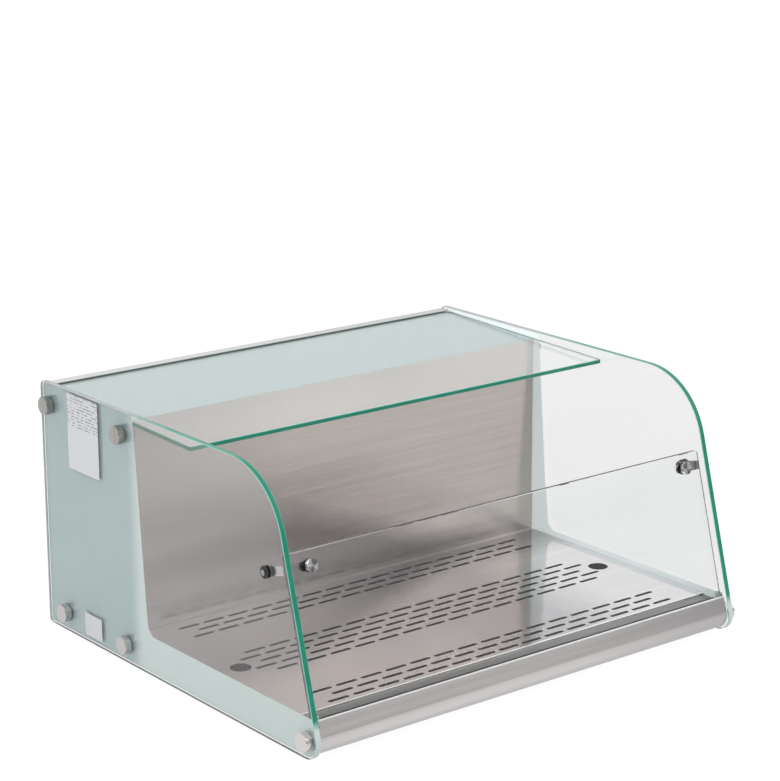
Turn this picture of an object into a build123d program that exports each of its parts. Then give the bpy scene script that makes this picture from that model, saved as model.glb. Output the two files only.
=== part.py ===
from build123d import *
from math import cos, floor, radians, sin, tan
import os

os.makedirs("parts", exist_ok=True)

# The case stands on four rubber feet, its open side towards -Y.
# Two numbers place each piece in the side view: how far it lies forward of
# the rear edge of the side panes, and how far above their lower edge.

# Side panes
case_width = 712.0
side_glass = 8.0
side_height = 348.0
side_depth = 623.0
front_lean = 15.3
nose_radius = 108.0
toe_radius = 24.0
heel_radius = 8.0
pane_lift = 6.0
arris = 0.7

# Frosted bands on the inner faces of the side panes and under the top pane
film = 0.3
film_gap = 0.05
film_margin = 2.5
band_top_room = 10.5
band_foot_room = 35.0
strip_rise = 8.0
strip_corner_radius = 18.0

# Sheet metal and general fits
sheet = 1.2
side_gap = 1.5
seat_gap = 0.2
fit_gap = 0.05
stud_gap = 0.1
loose_fit = 1.0

# Rear housing
wall_depth = 215.0
rear_setback = 4.0
floor_height = 8.0
rear_foam_thickness = 22.0
rear_foam_foot = 44.0
foam_gap = 1.0
wall_foot_fold = 15.0

# Top pane and rear rail, set down from the top of the side panes
top_glass = 6.0
top_rear_depth = 25.0
top_front_depth = 358.0
top_rear_drop = 4.5
top_front_drop = 13.0
tape = 0.7
tape_width = 18.0
tape_end_room = 8.0
tape_rear_room = 3.0
tape_front_room = 4.0
rail_depth = 16.0
rail_setback = 3.0
rail_drop = 3.0
rail_wall = 1.5
rail_rounding = 1.2

# Lift-out deck with its slots and finger holes
deck_height = 45.0
deck_sheet = 0.8
deck_rear_gap = 0.6
deck_front_gap = 0.4
deck_side_gap = 1.0
deck_fold = 6.0
slot_length = 32.5
slot_width = 6.0
slot_pitch = 39.6
slot_row_pitch = 18.0
slot_side_room = 50.0
rear_rows_room = 24.0
middle_rows_depth = 363.0
front_rows_room = 47.6
finger_hole = 28.0
finger_hole_room = 40.0
finger_hole_depth = 402.0

# Insulated well under the deck
well_edge_gap = 2.5
well_side_room = 7.0
well_flange = 5.0
well_floor = 17.0
well_sheet = 1.0
drain_rear_room = 35.0
drain_side_room = 90.0
drain_radius = 9.0
drain_fall = 3.0
plug_head = 2.0
plug_rim = 1.5
plug_length = 9.0

# Front profile with its lip and glass channel
profile_radius = 21.0
profile_foot = 3.5
profile_centre_room = 24.0
profile_back_room = 50.0
profile_wall = 1.5
channel_sink = 2.5
lip_rise = 6.5
lip_thickness = 3.0
lip_corner = 2.0
end_plate = 1.2

# Front pane
front_glass = 5.0
front_setback = 8.5
front_glass_top = 246.0
front_glass_side_gap = 2.0
front_glass_corner = 4.0
glass_seat_thickness = 1.0
glass_seat_height = 7.0
glass_seat_end_room = 10.0
corner_shoe_width = 6.0
corner_shoe_height = 13.0
corner_shoe_wall = 1.2
corner_shoe_rounding = 1.5

# Round bolts of the side panes
top_bolt_drop = 31.0
rear_bolt_depth = 21.0
wall_bolt_room = 13.0
heel_bolt_depth = 48.5
heel_bolt_height = 27.0
low_wall_bolt_room = 13.5
low_wall_bolt_height = 26.5
toe_bolt_room = 18.5
toe_bolt_height = 24.5
cap_radius = 12.5
cap_height = 9.5
cap_chamfer = 0.6
bolt_seal = 0.5
bolt_radius = 4.0
bolt_hole_gap = 1.0
bolt_reach = 12.0
bolt_nut_radius = 7.0
bolt_nut = 5.0
bolt_pocket = 8.0
seal_inset = 0.5
spacer_inset = 3.0

# Glass brackets of the front pane
bracket_bolt_room = 100.0
bracket_bolt_drop = 29.0
bracket_sheet = 2.0
bracket_height = 12.0
bracket_reach = 10.0
bracket_end_share = 0.9
button_inset = 32.0
button_radius = 8.5
button_height = 4.5
bracket_washer_radius = 8.0
bracket_washer = 2.0
inner_washer = 1.0
bracket_bolt_radius = 2.5
bracket_hole_radius = 4.0
bolt_head_radius = 4.0
bolt_head_height = 2.5
head_chamfer = 0.8
nut_radius = 5.0
nut_height = 4.0

# Feet
foot_radius = 15.0
foot_rounding = 2.5
foot_inset_side = 40.0
foot_rear_depth = 40.0
foot_front_room = 33.0
foot_stud_radius = 3.0
foot_stud = 2.5

# Evaporator and circulating fans in the well
coil_tube = 4.0
evaporator_passes = 4
evaporator_pitch = 26.0
evaporator_end_room = 105.0
evaporator_front_room = 124.5
evaporator_sink = 1.0
evaporator_tail = 25.0
evaporator_fin_half = 9.0
fin_thickness = 0.8
fin_spacing = 40.0
fin_margin = 9.0
fin_gap = 0.3
air_fan_size = 80.0
air_fan_corner = 6.0
air_fan_thickness = 20.0
air_fan_offset = 120.0
air_fan_depth = 316.0
air_fan_bore = 37.5
air_fan_rotor = 36.5
air_fan_hub = 16.0
air_fan_plate = 2.5
air_fan_spoke = 4.0
air_fan_screw_inset = 5.0
air_fan_screw_radius = 2.2
air_fan_blades = 7
air_fan_blade_angle = 38.0
fan_pin_radius = 2.5
blade_thickness = 2.0
blade_root = 2.0
blade_stretch = 1.15
running_gap = 0.05
rotor_gap = 0.4

# Condensing unit, between the compressor on the left and the controls on the right
condenser_passes = 6
condenser_pitch = 32.0
condenser_room = 30.0
control_room = 52.5
condenser_depth = 32.0
condenser_foot = 60.0
condenser_fin_margin = 10.0
condenser_fin_spacing = 20.0
condenser_fin_half = 13.0
condenser_tail = 18.0
shroud_gap = 1.0
shroud_depth = 30.0
shroud_wall = 1.5
shroud_leg = 20.0
mouth_room = 2.0
mouth_rim = 14.0
condenser_fan_hub = 22.0
condenser_fan_height = 24.0
condenser_fan_blades = 5
condenser_fan_blade_angle = 32.0
fan_tip_gap = 2.0
fan_end_gap = 2.0
condenser_motor_radius = 30.0
condenser_motor_length = 34.0
condenser_motor_rounding = 4.0
motor_shaft_radius = 3.0
motor_arm_radius = 3.0
motor_arm_setback = 8.0
motor_arm_room = 6.0
compressor_edge_room = 136.5
compressor_depth = 100.0
compressor_radius = 70.0
compressor_height = 165.0
compressor_plate_width = 190.0
compressor_plate_depth = 130.0
compressor_plate = 3.0
compressor_plate_corner = 12.0
seam_rise = 3.0
seam_height = 4.0
stub_root = 6.0
stub_reach = 12.0
stub_wall = 1.0
grommet_inset = 16.0
grommet_height = 14.0
grommet_radius = 11.0
grommet_neck = 5.3
relay_half_width = 24.0
relay_height = 32.0
relay_tall = 44.0
relay_reach = 14.0

# Refrigerant lines
drier_room = 60.0
drier_depth = 60.0
drier_foot = 70.0
drier_radius = 8.0
drier_length = 90.0
drier_shoulder = 3.5
drier_collar = 8.0
drier_collar_wall = 0.6
line_radius = 3.0
suction_radius = 4.0
line_bend = 9.0
line_rise_room = 35.0
capillary_top = 205.0
capillary_room = 42.0
suction_room = 60.0
suction_step = 18.0
discharge_room = 25.0
discharge_fall = 60.0

# Rear panel, controls and inlet
vent_length = 60.0
vent_width = 5.0
vent_pitch = 12.0
vent_rows = 2
vent_gap = 20.0
vent_margin = 2.0
compressor_vents = 10
panel_screw_inset = 14.0
panel_screw_foot = 30.0
panel_screw_middle = 170.0
panel_screw_drop = 43.0
screw_head_radius = 4.0
screw_head = 1.8
screw_head_chamfer = 0.7
screw_radius = 2.0
screw_length = 8.0
control_edge_room = 76.5
control_drop = 98.0
control_box_margin = 12.0
control_box_foot = 22.0
control_box_depth = 66.0
control_box_wall = 2.0
cable_hole_radius = 6.0
cable_hole_depth = 40.0
controller_width = 71.0
controller_height = 29.0
controller_bezel = 2.5
controller_flange = 3.0
controller_body = 50.0
window_half = 22.0
window_low = 1.0
window_high = 11.0
window_sink = 1.5
lens_gap = 0.2
lens_sink = 0.3
button_width = 7.0
button_tall = 4.0
button_pitch = 13.0
button_line = -7.0
button_rise = 1.5
button_sink = 0.5
button_travel = 0.8
button_gap = 0.25
button_rounding = 0.4
rocker_width = 21.0
rocker_height = 12.0
rocker_flange = 2.0
rocker_rim = 1.5
rocker_body = 24.0
rocker_cavity = 8.0
rocker_pivot = 3.0
rocker_angle = 8.0
rocker_drop = 45.0
inlet_width = 27.0
inlet_height = 20.0
inlet_wall = 1.5
inlet_rise = 2.0
inlet_ear = 5.0
inlet_rim = 2.0
inlet_body = 24.0
inlet_cavity = 16.0
inlet_slope = 4.0
inlet_drop = 90.0
blade_places = [(-7.0, -2.0), (0.0, 2.0), (7.0, -2.0)]
blade_half_width = 1.0
blade_half_height = 2.0

# Derived places of the panes and the housing
rear_edge = side_depth / 2
lean = radians(front_lean)
pane_inner = case_width / 2 - side_glass
film_back = film_gap + film
housing_half = pane_inner - side_gap
toe_centre_depth = side_depth - toe_radius
front_foot_depth = toe_centre_depth + toe_radius * (1 + sin(lean)) / cos(lean)
front_top_depth = front_foot_depth - side_height * tan(lean)
band_top_depth = wall_depth + band_top_room
band_foot_depth = wall_depth + band_foot_room
strip_height = deck_height + strip_rise
top_rear_height = side_height - top_rear_drop
top_front_height = side_height - top_front_drop
rail_top = side_height - rail_drop
floor_top = floor_height + sheet
side_bolt_places = [
    (rear_bolt_depth, side_height - top_bolt_drop),
    (wall_depth - wall_bolt_room, side_height - top_bolt_drop),
    (heel_bolt_depth, heel_bolt_height),
    (wall_depth - low_wall_bolt_room, low_wall_bolt_height),
    (side_depth - toe_bolt_room, toe_bolt_height)]

# Derived places of the front profile and the front pane
profile_centre_depth = side_depth - profile_centre_room
profile_back_depth = side_depth - profile_back_room
channel_floor = deck_height - channel_sink
lip_height = deck_height + lip_rise
foot_front_depth = profile_back_depth - foot_front_room
bracket_bolt_depth = side_depth - bracket_bolt_room
bracket_bolt_height = front_glass_top - bracket_bolt_drop

# Derived places of the deck and the well
deck_half = pane_inner - deck_side_gap
deck_rear_depth = wall_depth + deck_rear_gap
deck_front_depth = profile_back_depth - deck_front_gap
finger_hole_offset = deck_half - finger_hole_room
slots_reach = 2 * (deck_half - slot_side_room)
slots_in_long_row = floor((slots_reach + slot_pitch - slot_length) / slot_pitch)
rear_rows_depth = wall_depth + rear_rows_room
front_rows_depth = deck_front_depth - front_rows_room
well_half_width = deck_half - well_side_room
well_rear_depth = deck_rear_depth + well_edge_gap
well_front_depth = deck_front_depth - well_edge_gap
well_top = deck_height - deck_sheet - seat_gap
drain_offset = well_half_width - drain_side_room
drain_depth = wall_depth + drain_rear_room
evaporator_half_length = well_half_width - evaporator_end_room
evaporator_rear_depth = well_front_depth - evaporator_front_room
evaporator_height = (well_floor + well_sheet + well_top) / 2 - evaporator_sink
evaporator_tail_x = -evaporator_half_length - evaporator_tail
suction_x = -evaporator_half_length - suction_room
capillary_x = -evaporator_half_length - capillary_room

# Derived places of the machinery, from left to right
compressor_offset = compressor_edge_room - housing_half
compressor_floor = floor_top + grommet_height
drier_x = compressor_offset + compressor_radius + drier_room
control_offset = housing_half - control_edge_room
control_height = side_height - control_drop
control_box_half = controller_width / 2 + control_box_margin
condenser_start = drier_x + condenser_room
condenser_end = control_offset - control_box_half - control_room
condenser_offset = (condenser_start + condenser_end) / 2
condenser_half_length = (condenser_end - condenser_start) / 2
condenser_tail_x = condenser_start - condenser_tail
condenser_half_height = condenser_fin_margin + (condenser_passes - 1) * condenser_pitch / 2
condenser_middle = condenser_foot + condenser_half_height
condenser_fan_bore = min(condenser_half_length, condenser_half_height) - mouth_room
condenser_fan_radius = condenser_fan_bore - fan_tip_gap
shroud_rear = condenser_depth + condenser_fin_half + shroud_gap
fan_rear = shroud_rear + shroud_depth - shroud_wall
line_rise_depth = wall_depth - line_rise_room
rocker_middle = control_height - rocker_drop
inlet_middle = control_height - inlet_drop


def at(depth, height):
    """World Y and Z of a place given by its depth and height."""
    return (rear_edge - depth, pane_lift + height)


def place(x, depth, height):
    y, z = at(depth, height)
    return (x, y, z)


def side_plane(x):
    """A plane across the case at x, its own axes along +Y and +Z."""
    return Plane(origin=(x, 0, 0), x_dir=(0, 1, 0), z_dir=(1, 0, 0))


def side_face(corners):
    return make_face(Polyline(*[at(*corner) for corner in corners], close=True))


def across(face, x0, x1):
    """A side-view face drawn out from x0 to x1."""
    return extrude(side_plane(x0) * face, x1 - x0)


def block(x0, x1, depth0, depth1, height0, height1):
    middle = place((x0 + x1) / 2, (depth0 + depth1) / 2, (height0 + height1) / 2)
    return Pos(*middle) * Box(x1 - x0, depth1 - depth0, height1 - height0)


def rod(centre, direction, radius, length):
    return extrude(Plane(origin=centre, z_dir=direction) * Circle(radius), length)


def ring(centre, direction, outer, inner, length):
    face = Circle(outer) - Circle(inner)
    return extrude(Plane(origin=centre, z_dir=direction) * face, length)


def tube(points, bends, radius):
    """A bent pipe through points, its corners rounded by the bends."""
    path = FilletPolyline(*points, radius=bends) if len(points) > 2 else Line(*points)
    start = Plane(origin=path @ 0, z_dir=path % 0)
    return sweep(start * Circle(radius), path=path)


def lean_depth(height, setback):
    """Depth of the line that runs parallel to the panes' front edge."""
    return front_foot_depth - height * tan(lean) - setback


def corner_at(face, depth, height):
    y, z = at(depth, height)
    return face.vertices().sort_by_distance((y, z, 0))[0]


def top_height(depth):
    """Height of the upper face of the sloping top pane."""
    fall = (top_rear_height - top_front_height) / (top_front_depth - top_rear_depth)
    return top_rear_height - (depth - top_rear_depth) * fall


# Side panes and their frosted bands
def pane_outline():
    corners = [(0, 0), (0, side_height), (front_top_depth, side_height), (front_foot_depth, 0)]
    face = side_face(corners)
    for corner, radius in zip(corners, [heel_radius, heel_radius, nose_radius, toe_radius]):
        face = fillet(corner_at(face, *corner), radius)
    return face


def bolt_holes(places, radius):
    holes = [Pos(*at(*spot)) * Circle(radius) for spot in places]
    return Sketch() + holes


def side_pane(side):
    face = pane_outline() - bolt_holes(side_bolt_places, bolt_radius + bolt_hole_gap)
    face -= bolt_holes([(bracket_bolt_depth, bracket_bolt_height)], bracket_hole_radius)
    pane = across(face, side * case_width / 2, side * pane_inner)
    rims = pane.edges().filter_by(Plane.YZ).sort_by(Edge.length)[-16:]
    return chamfer(rims, arris)


def frost_band(side):
    """The print on the inner face: a broad rear field and a low strip."""
    beyond = 2 * side_depth
    corner = (band_foot_depth, strip_height)
    slope = (band_foot_depth - band_top_depth) / (side_height - strip_height)
    high_depth = band_top_depth - slope * side_height
    window = side_face([corner, (high_depth, 2 * side_height), (beyond, 2 * side_height),
                        (beyond, strip_height)])
    window = fillet(corner_at(window, *corner), strip_corner_radius)
    field = offset(pane_outline(), -film_margin) - window
    field -= bolt_holes(side_bolt_places, bolt_radius + bolt_hole_gap)
    return across(field, side * (pane_inner - film_gap), side * (pane_inner - film_back))


# Top pane, its printed field and its bonding tape
def top_sheet(depth0, depth1, drop, thickness, half_width):
    corners = [(depth0, top_height(depth0) - drop), (depth1, top_height(depth1) - drop),
               (depth1, top_height(depth1) - drop - thickness),
               (depth0, top_height(depth0) - drop - thickness)]
    return across(side_face(corners), -half_width, half_width)


def top_pane():
    pane = top_sheet(top_rear_depth, top_front_depth, 0, top_glass, pane_inner - loose_fit)
    return chamfer(pane.edges(), arris)


cover_drop = top_glass + film_back + tape


# Housing sheets
def housing_side(side):
    rear = rear_setback + sheet + seat_gap
    front = wall_depth - sheet - seat_gap
    under = cover_drop + sheet + seat_gap
    corners = [(rear, floor_top + seat_gap), (front, floor_top + seat_gap),
               (front, top_height(front) - under), (rear, top_height(rear) - under)]
    face = side_face(corners) - bolt_holes(side_bolt_places[:4], bolt_radius + seat_gap)
    return across(face, side * (housing_half - sheet), side * housing_half)


def back_wall():
    """The brushed wall behind the display, with a folded foot."""
    top = top_height(wall_depth) - top_glass - film_back - seat_gap
    low = floor_top + seat_gap
    foot_half = housing_half - sheet - seat_gap
    wall = block(-housing_half, housing_half, wall_depth - sheet, wall_depth, low, top)
    wall += block(-foot_half, foot_half, wall_depth - wall_foot_fold, wall_depth, low, low + sheet)
    for x, radius in line_passes():
        wall -= rod(place(x, wall_depth - wall_foot_fold - 1, evaporator_height), (0, -1, 0),
                    radius + loose_fit, 2 * wall_foot_fold)
    return wall


def rear_panel():
    half = housing_half - loose_fit
    top = top_height(rear_setback) - cover_drop - sheet - seat_gap - loose_fit
    panel = block(-half, half, rear_setback, rear_setback + sheet, floor_top + seat_gap, top)
    for x, height in vent_places():
        panel -= block(x - vent_width / 2, x + vent_width / 2, 0, 2 * rear_setback + sheet,
                       height, height + vent_length)
    panel -= control_cut(control_height, controller_width, controller_height)
    panel -= control_cut(control_height - rocker_drop, rocker_width, rocker_height)
    panel -= control_cut(control_height - inlet_drop, inlet_width, inlet_height)
    for x, height in panel_screw_places():
        panel -= rod(place(x, 0, height), (0, -1, 0), screw_radius + seat_gap, 4 * rear_setback)
    return panel


def control_cut(height, width, tall):
    """An opening of the rear panel round a control, with its clearance."""
    w = width / 2 + seat_gap
    t = tall / 2 + seat_gap
    return block(control_offset - w, control_offset + w, 0, 2 * rear_setback + sheet,
                 height - t, height + t)


def vent_places():
    """Lower ends of the upright vents, behind the condenser and the compressor."""
    condenser_vents = floor(2 * (condenser_half_length - vent_margin) / vent_pitch)
    places = []
    for centre, count in [(condenser_offset, condenser_vents), (compressor_offset, compressor_vents)]:
        for row in range(vent_rows):
            low = condenser_foot + vent_gap + row * (vent_length + vent_gap)
            for k in range(count):
                places.append((centre + (k - (count - 1) / 2) * vent_pitch, low))
    return places


def panel_screw_places():
    x = housing_half - panel_screw_inset
    heights = (panel_screw_foot, panel_screw_middle, side_height - panel_screw_drop)
    return [(side * x, height) for side in (-1, 1) for height in heights]


def panel_screws():
    """Pan-head screws driven forward into the rear panel."""
    solids = []
    for x, height in panel_screw_places():
        centre = place(x, rear_setback, height)
        dome = rod(centre, (0, 1, 0), screw_head_radius, screw_head)
        dome = chamfer(dome.edges().sort_by(Axis.Y)[-1], screw_head_chamfer)
        solids.append(dome + rod(centre, (0, -1, 0), screw_radius, screw_length))
    return solids


# Base
def base_pan():
    """Floor sheet with two folded sides under the display."""
    plate = block(-housing_half, housing_half, rear_setback, profile_back_depth - seat_gap,
                  floor_height, floor_top)
    for side in (-1, 1):
        inner, outer = sorted((side * (housing_half - sheet), side * housing_half))
        plate += block(inner, outer, wall_depth, profile_back_depth - seat_gap, floor_height,
                       well_top)
    for x, depth in foot_places():
        plate -= rod(place(x, depth, 0), (0, 0, 1), foot_stud_radius + seat_gap, 2 * floor_top)
    plate -= rod(place(drain_offset, drain_depth, 0), (0, 0, 1), drain_radius + loose_fit,
                 2 * floor_top)
    return plate


def foot_places():
    x = housing_half - foot_inset_side
    return [(side * x, depth) for side in (-1, 1) for depth in (foot_rear_depth, foot_front_depth)]


def feet():
    """Rubber feet, each with a stud up through the floor sheet."""
    solids = []
    for x, depth in foot_places():
        body = rod(place(x, depth, -pane_lift), (0, 0, 1), foot_radius, pane_lift + floor_height)
        body = chamfer(body.edges().sort_by(Axis.Z)[0], foot_rounding)
        solids.append(body + rod(place(x, depth, floor_height), (0, 0, 1), foot_stud_radius,
                                 foot_stud))
    return solids


def floor_foam():
    low = floor_top + seat_gap
    half = well_half_width - foam_gap
    foam = block(-half, half, well_rear_depth + foam_gap, well_front_depth - foam_gap, low,
                 well_floor - seat_gap)
    for x, depth in foot_places()[1::2]:
        foam -= rod(place(x, depth, low - foam_gap), (0, 0, 1), foot_stud_radius + loose_fit,
                    foot_stud + foam_gap)
    return foam - rod(place(drain_offset, drain_depth, 0), (0, 0, 1), drain_radius + loose_fit,
                      2 * well_floor)


def cold_well():
    """Inner tray with a drain spout and the flange that carries the deck."""
    w = well_half_width
    tray = block(-w, w, well_rear_depth, well_front_depth, well_floor, well_top)
    tray -= block(well_sheet - w, w - well_sheet, well_rear_depth + well_sheet,
                  well_front_depth - well_sheet, well_floor + well_sheet, 2 * well_top)
    for side in (-1, 1):
        inner, outer = sorted((side * w, side * (w + well_flange)))
        tray += block(inner, outer, well_rear_depth, well_front_depth, well_top - well_sheet,
                      well_top)
    spout = rod(place(drain_offset, drain_depth, well_floor), (0, 0, -1), drain_radius,
                well_floor - floor_height + drain_fall)
    bore = rod(place(drain_offset, drain_depth, well_floor + 2 * well_sheet), (0, 0, -1),
               drain_radius - well_sheet, 2 * well_floor)
    tray = tray + spout - bore
    for x, radius in line_passes():
        tray -= rod(place(x, 0, evaporator_height), (0, -1, 0), radius + loose_fit,
                    well_rear_depth + 2 * well_sheet)
    return tray


def line_passes():
    """Where the two refrigerant lines pass the rear wall of the well."""
    return [(suction_x, suction_radius), (capillary_x, line_radius)]


def drain_plug():
    """A round stopper pushed up into the drain spout."""
    low = floor_height - drain_fall
    head = rod(place(drain_offset, drain_depth, low - plug_head), (0, 0, 1),
               drain_radius + plug_rim, plug_head)
    return head + rod(place(drain_offset, drain_depth, low), (0, 0, 1),
                      drain_radius - well_sheet - fit_gap, plug_length)


# Deck
def slot_rows():
    """Depth and count of every row of slots."""
    long_row = slots_in_long_row
    rows = []
    for start, counts in [(rear_rows_depth, (long_row, long_row - 1, long_row)),
                          (middle_rows_depth, (long_row - 1, long_row) * 2 + (long_row - 1,)),
                          (front_rows_depth, (long_row, long_row - 1, long_row))]:
        for k, count in enumerate(counts):
            rows.append((start + k * slot_row_pitch, count))
    return rows


def deck():
    plan = Rectangle(2 * deck_half, deck_front_depth - deck_rear_depth)
    middle = (deck_front_depth + deck_rear_depth) / 2
    spots = []
    for depth, count in slot_rows():
        for k in range(count):
            spots.append(Pos((k - (count - 1) / 2) * slot_pitch, middle - depth))
    slot = SlotOverall(slot_length, slot_width)
    plan -= [spot * slot for spot in spots]
    hole_y = middle - finger_hole_depth
    plan -= [Pos(side * finger_hole_offset, hole_y) * Circle(finger_hole / 2) for side in (-1, 1)]
    plate = extrude(Pos(*place(0, middle, deck_height - deck_sheet)) * plan, deck_sheet)
    for depth in (deck_rear_depth, deck_front_depth - deck_sheet):
        plate += block(-well_half_width, well_half_width, depth, depth + deck_sheet,
                       deck_height - deck_fold, deck_height)
    ends = (at(deck_rear_depth, 0)[0], at(deck_front_depth, 0)[0])
    outer = [edge for edge in plate.edges().filter_by(Axis.X).group_by(Axis.Z)[-1]
             if min(abs(edge.center().Y - end) for end in ends) < arris]
    return fillet(outer, deck_sheet * 0.9)


# Front profile
def profile_outline():
    """Bullnose, leaning face, lip and channel floor as one closed outline."""
    centre = (profile_centre_depth, profile_foot + profile_radius)
    reach = centre[0] * cos(lean) + centre[1] * sin(lean) + profile_radius

    def face_depth(height, inward=0.0):
        return (reach - inward - height * sin(lean)) / cos(lean)

    foot = (face_depth(profile_foot), profile_foot)
    lip = [(face_depth(lip_height), lip_height),
           (face_depth(lip_height, lip_thickness), lip_height)]
    channel = (face_depth(channel_floor, lip_thickness), channel_floor)
    back = [(profile_back_depth, channel_floor), (profile_back_depth, profile_foot)]
    face = side_face([foot, *lip, channel, *back])
    face = fillet(corner_at(face, *foot), profile_radius)
    for corner in lip:
        face = fillet(corner_at(face, *corner), lip_thickness * 0.3)
    top = side_face([(profile_back_depth, channel_floor), (face_depth(channel_floor), channel_floor),
                     foot, back[1]])
    top = fillet(corner_at(top, *foot), profile_radius)
    return face, top


def front_profile():
    face, body = profile_outline()
    shell = face - offset(body, -profile_wall)
    half = housing_half - end_plate
    bar = across(shell, -half, half)
    for side in (-1, 1):
        bar -= lip_corner_cut(side, half)
    return bar


def lip_corner_cut(side, half):
    """What the rounded upper corner of the lip leaves out at one end."""
    low = lip_height - lip_corner
    inner, outer = sorted((side * (half - lip_corner), side * (half + lip_corner)))
    corner = block(inner, outer, profile_centre_depth, side_depth, low, lip_height + lip_corner)
    axis_start = place(side * (half - lip_corner), profile_centre_depth - lip_corner, low)
    return corner - rod(axis_start, (0, -1, 0), lip_corner, side_depth)


def profile_end(side):
    body = profile_outline()[1] - bolt_holes(side_bolt_places[4:], bolt_radius + seat_gap)
    return across(body, side * (housing_half - end_plate), side * housing_half)


# Front pane in its channel
def front_slab(inward, thickness, height0, height1, half_width, shift=0.0):
    """A leaning slab, measured square from the front face of the front pane."""
    corners = []
    for height, depth_in in [(height0, inward), (height1, inward), (height1, inward + thickness),
                             (height0, inward + thickness)]:
        corners.append((lean_depth(height, front_setback) - depth_in / cos(lean), height))
    return across(side_face(corners), shift - half_width, shift + half_width)


front_half = pane_inner - front_glass_side_gap
front_foot = channel_floor + glass_seat_thickness


def front_pane():
    pane = front_slab(0, front_glass, front_foot, front_glass_top, front_half)
    tops = pane.edges().filter_by(Plane.YZ).group_by(Axis.Z)[-1]
    pane = fillet(tops, front_glass_corner)
    for side in (-1, 1):
        pane -= rod(bolt_point(side * button_x, -front_glass), front_normal, bracket_hole_radius,
                    3 * front_glass)
    return chamfer(pane.edges().group_by(Axis.Z)[-1], arris)


def glass_seat():
    """A soft U strip under the lower edge of the front pane."""
    t = glass_seat_thickness
    top = channel_floor + glass_seat_height
    strip = front_slab(-t, front_glass + 2 * t, channel_floor, top,
                       front_half - glass_seat_end_room)
    return strip - front_slab(0, front_glass, front_foot, 2 * top, front_half)


def corner_shoe(side):
    """A clear shoe that holds a lower corner of the front pane."""
    top = channel_floor + corner_shoe_height
    edge = pane_inner - film_back - seat_gap
    inner = front_half - corner_shoe_width
    shoe = front_slab(-corner_shoe_wall, front_glass + 2 * corner_shoe_wall, channel_floor, top,
                      (edge - inner) / 2, side * (edge + inner) / 2)
    rims = shoe.edges().filter_by(Plane.YZ).group_by(Axis.Z)[-1]
    shoe = fillet(rims, corner_shoe_rounding)
    return shoe - front_slab(0, front_glass, front_foot, 2 * top, front_half)


# Glass brackets
front_normal = (0, cos(lean), -sin(lean))
button_x = pane_inner - button_inset


def bolt_point(x, inward):
    """A point on the line through a side bolt, square to the front pane."""
    y, z = at(bracket_bolt_depth, bracket_bolt_height)
    face = lean_depth(bracket_bolt_height, front_setback) - bracket_bolt_depth
    gap = face * cos(lean)
    return (x, y - (gap - inward) * cos(lean), z + (gap - inward) * sin(lean))


bolt_inward = (lean_depth(bracket_bolt_height, front_setback) - bracket_bolt_depth) * cos(lean)
plate_inward = front_glass + inner_washer


def bracket_plane(x):
    """A plane square to X, its first axis running back from the front pane."""
    return Plane(origin=bolt_point(x, 0), x_dir=front_normal, z_dir=(1, 0, 0))


def bracket(side):
    """An angle strip: one leg along the side pane, one behind the front pane."""
    gap = inner_washer
    reach = bolt_inward + bracket_reach
    half = bracket_height / 2
    outer = pane_inner - gap
    inner = outer - bracket_sheet
    leg = Pos((plate_inward + reach) / 2, 0) * Rectangle(reach - plate_inward, bracket_height)
    leg = fillet(leg.vertices().group_by(Axis.X)[-1], half * bracket_end_share)
    leg -= Pos(bolt_inward, 0) * Circle(bracket_bolt_radius + stud_gap)
    first = extrude(bracket_plane(side * inner) * leg, side * bracket_sheet)
    tip = button_x - bracket_reach
    flat = Rectangle(outer - tip, bracket_height)
    flat = Pos(side * (outer + tip) / 2, 0) * flat
    low = flat.vertices().sort_by(Axis.X)[:2] if side > 0 else flat.vertices().sort_by(Axis.X)[-2:]
    flat = fillet(low, half * bracket_end_share)
    flat -= Pos(side * button_x, 0) * Circle(bracket_bolt_radius + stud_gap)
    face_plane = Plane(origin=bolt_point(0, plate_inward), x_dir=(1, 0, 0), z_dir=front_normal)
    second = extrude(face_plane * flat, bracket_sheet)
    return first + second


def bracket_bolt(side):
    """A stud through the side pane, with a round head outside and a nut."""
    face = side * (case_width / 2 + bracket_washer)
    head = rod(bolt_point(face, bolt_inward), (side, 0, 0), bolt_head_radius, bolt_head_height)
    rim = head.edges().filter_by(GeomType.CIRCLE).group_by(Axis.X)[-1 if side > 0 else 0]
    head = chamfer(rim, head_chamfer)
    inner = pane_inner - inner_washer - bracket_sheet
    run = case_width / 2 + bracket_washer - inner + nut_height
    shank = rod(bolt_point(face, bolt_inward), (-side, 0, 0), bracket_bolt_radius, run)
    nut = rod(bolt_point(side * inner, bolt_inward), (-side, 0, 0), nut_radius, nut_height)
    return head + shank + nut


def bracket_washers():
    """Black rubber washers on both faces of every bracket hole."""
    solids = []
    for side in (-1, 1):
        solids.append(ring(bolt_point(side * case_width / 2, bolt_inward), (side, 0, 0),
                           bracket_washer_radius, bracket_bolt_radius + stud_gap, bracket_washer))
        solids.append(ring(bolt_point(side * pane_inner, bolt_inward), (-side, 0, 0),
                           bracket_washer_radius, bracket_bolt_radius + stud_gap, inner_washer))
        away = tuple(-part for part in front_normal)
        solids.append(ring(bolt_point(side * button_x, 0), away, bracket_washer_radius,
                           bracket_bolt_radius + stud_gap, bracket_washer))
        solids.append(ring(bolt_point(side * button_x, front_glass), front_normal,
                           bracket_washer_radius, bracket_bolt_radius + stud_gap, inner_washer))
    return solids


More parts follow.
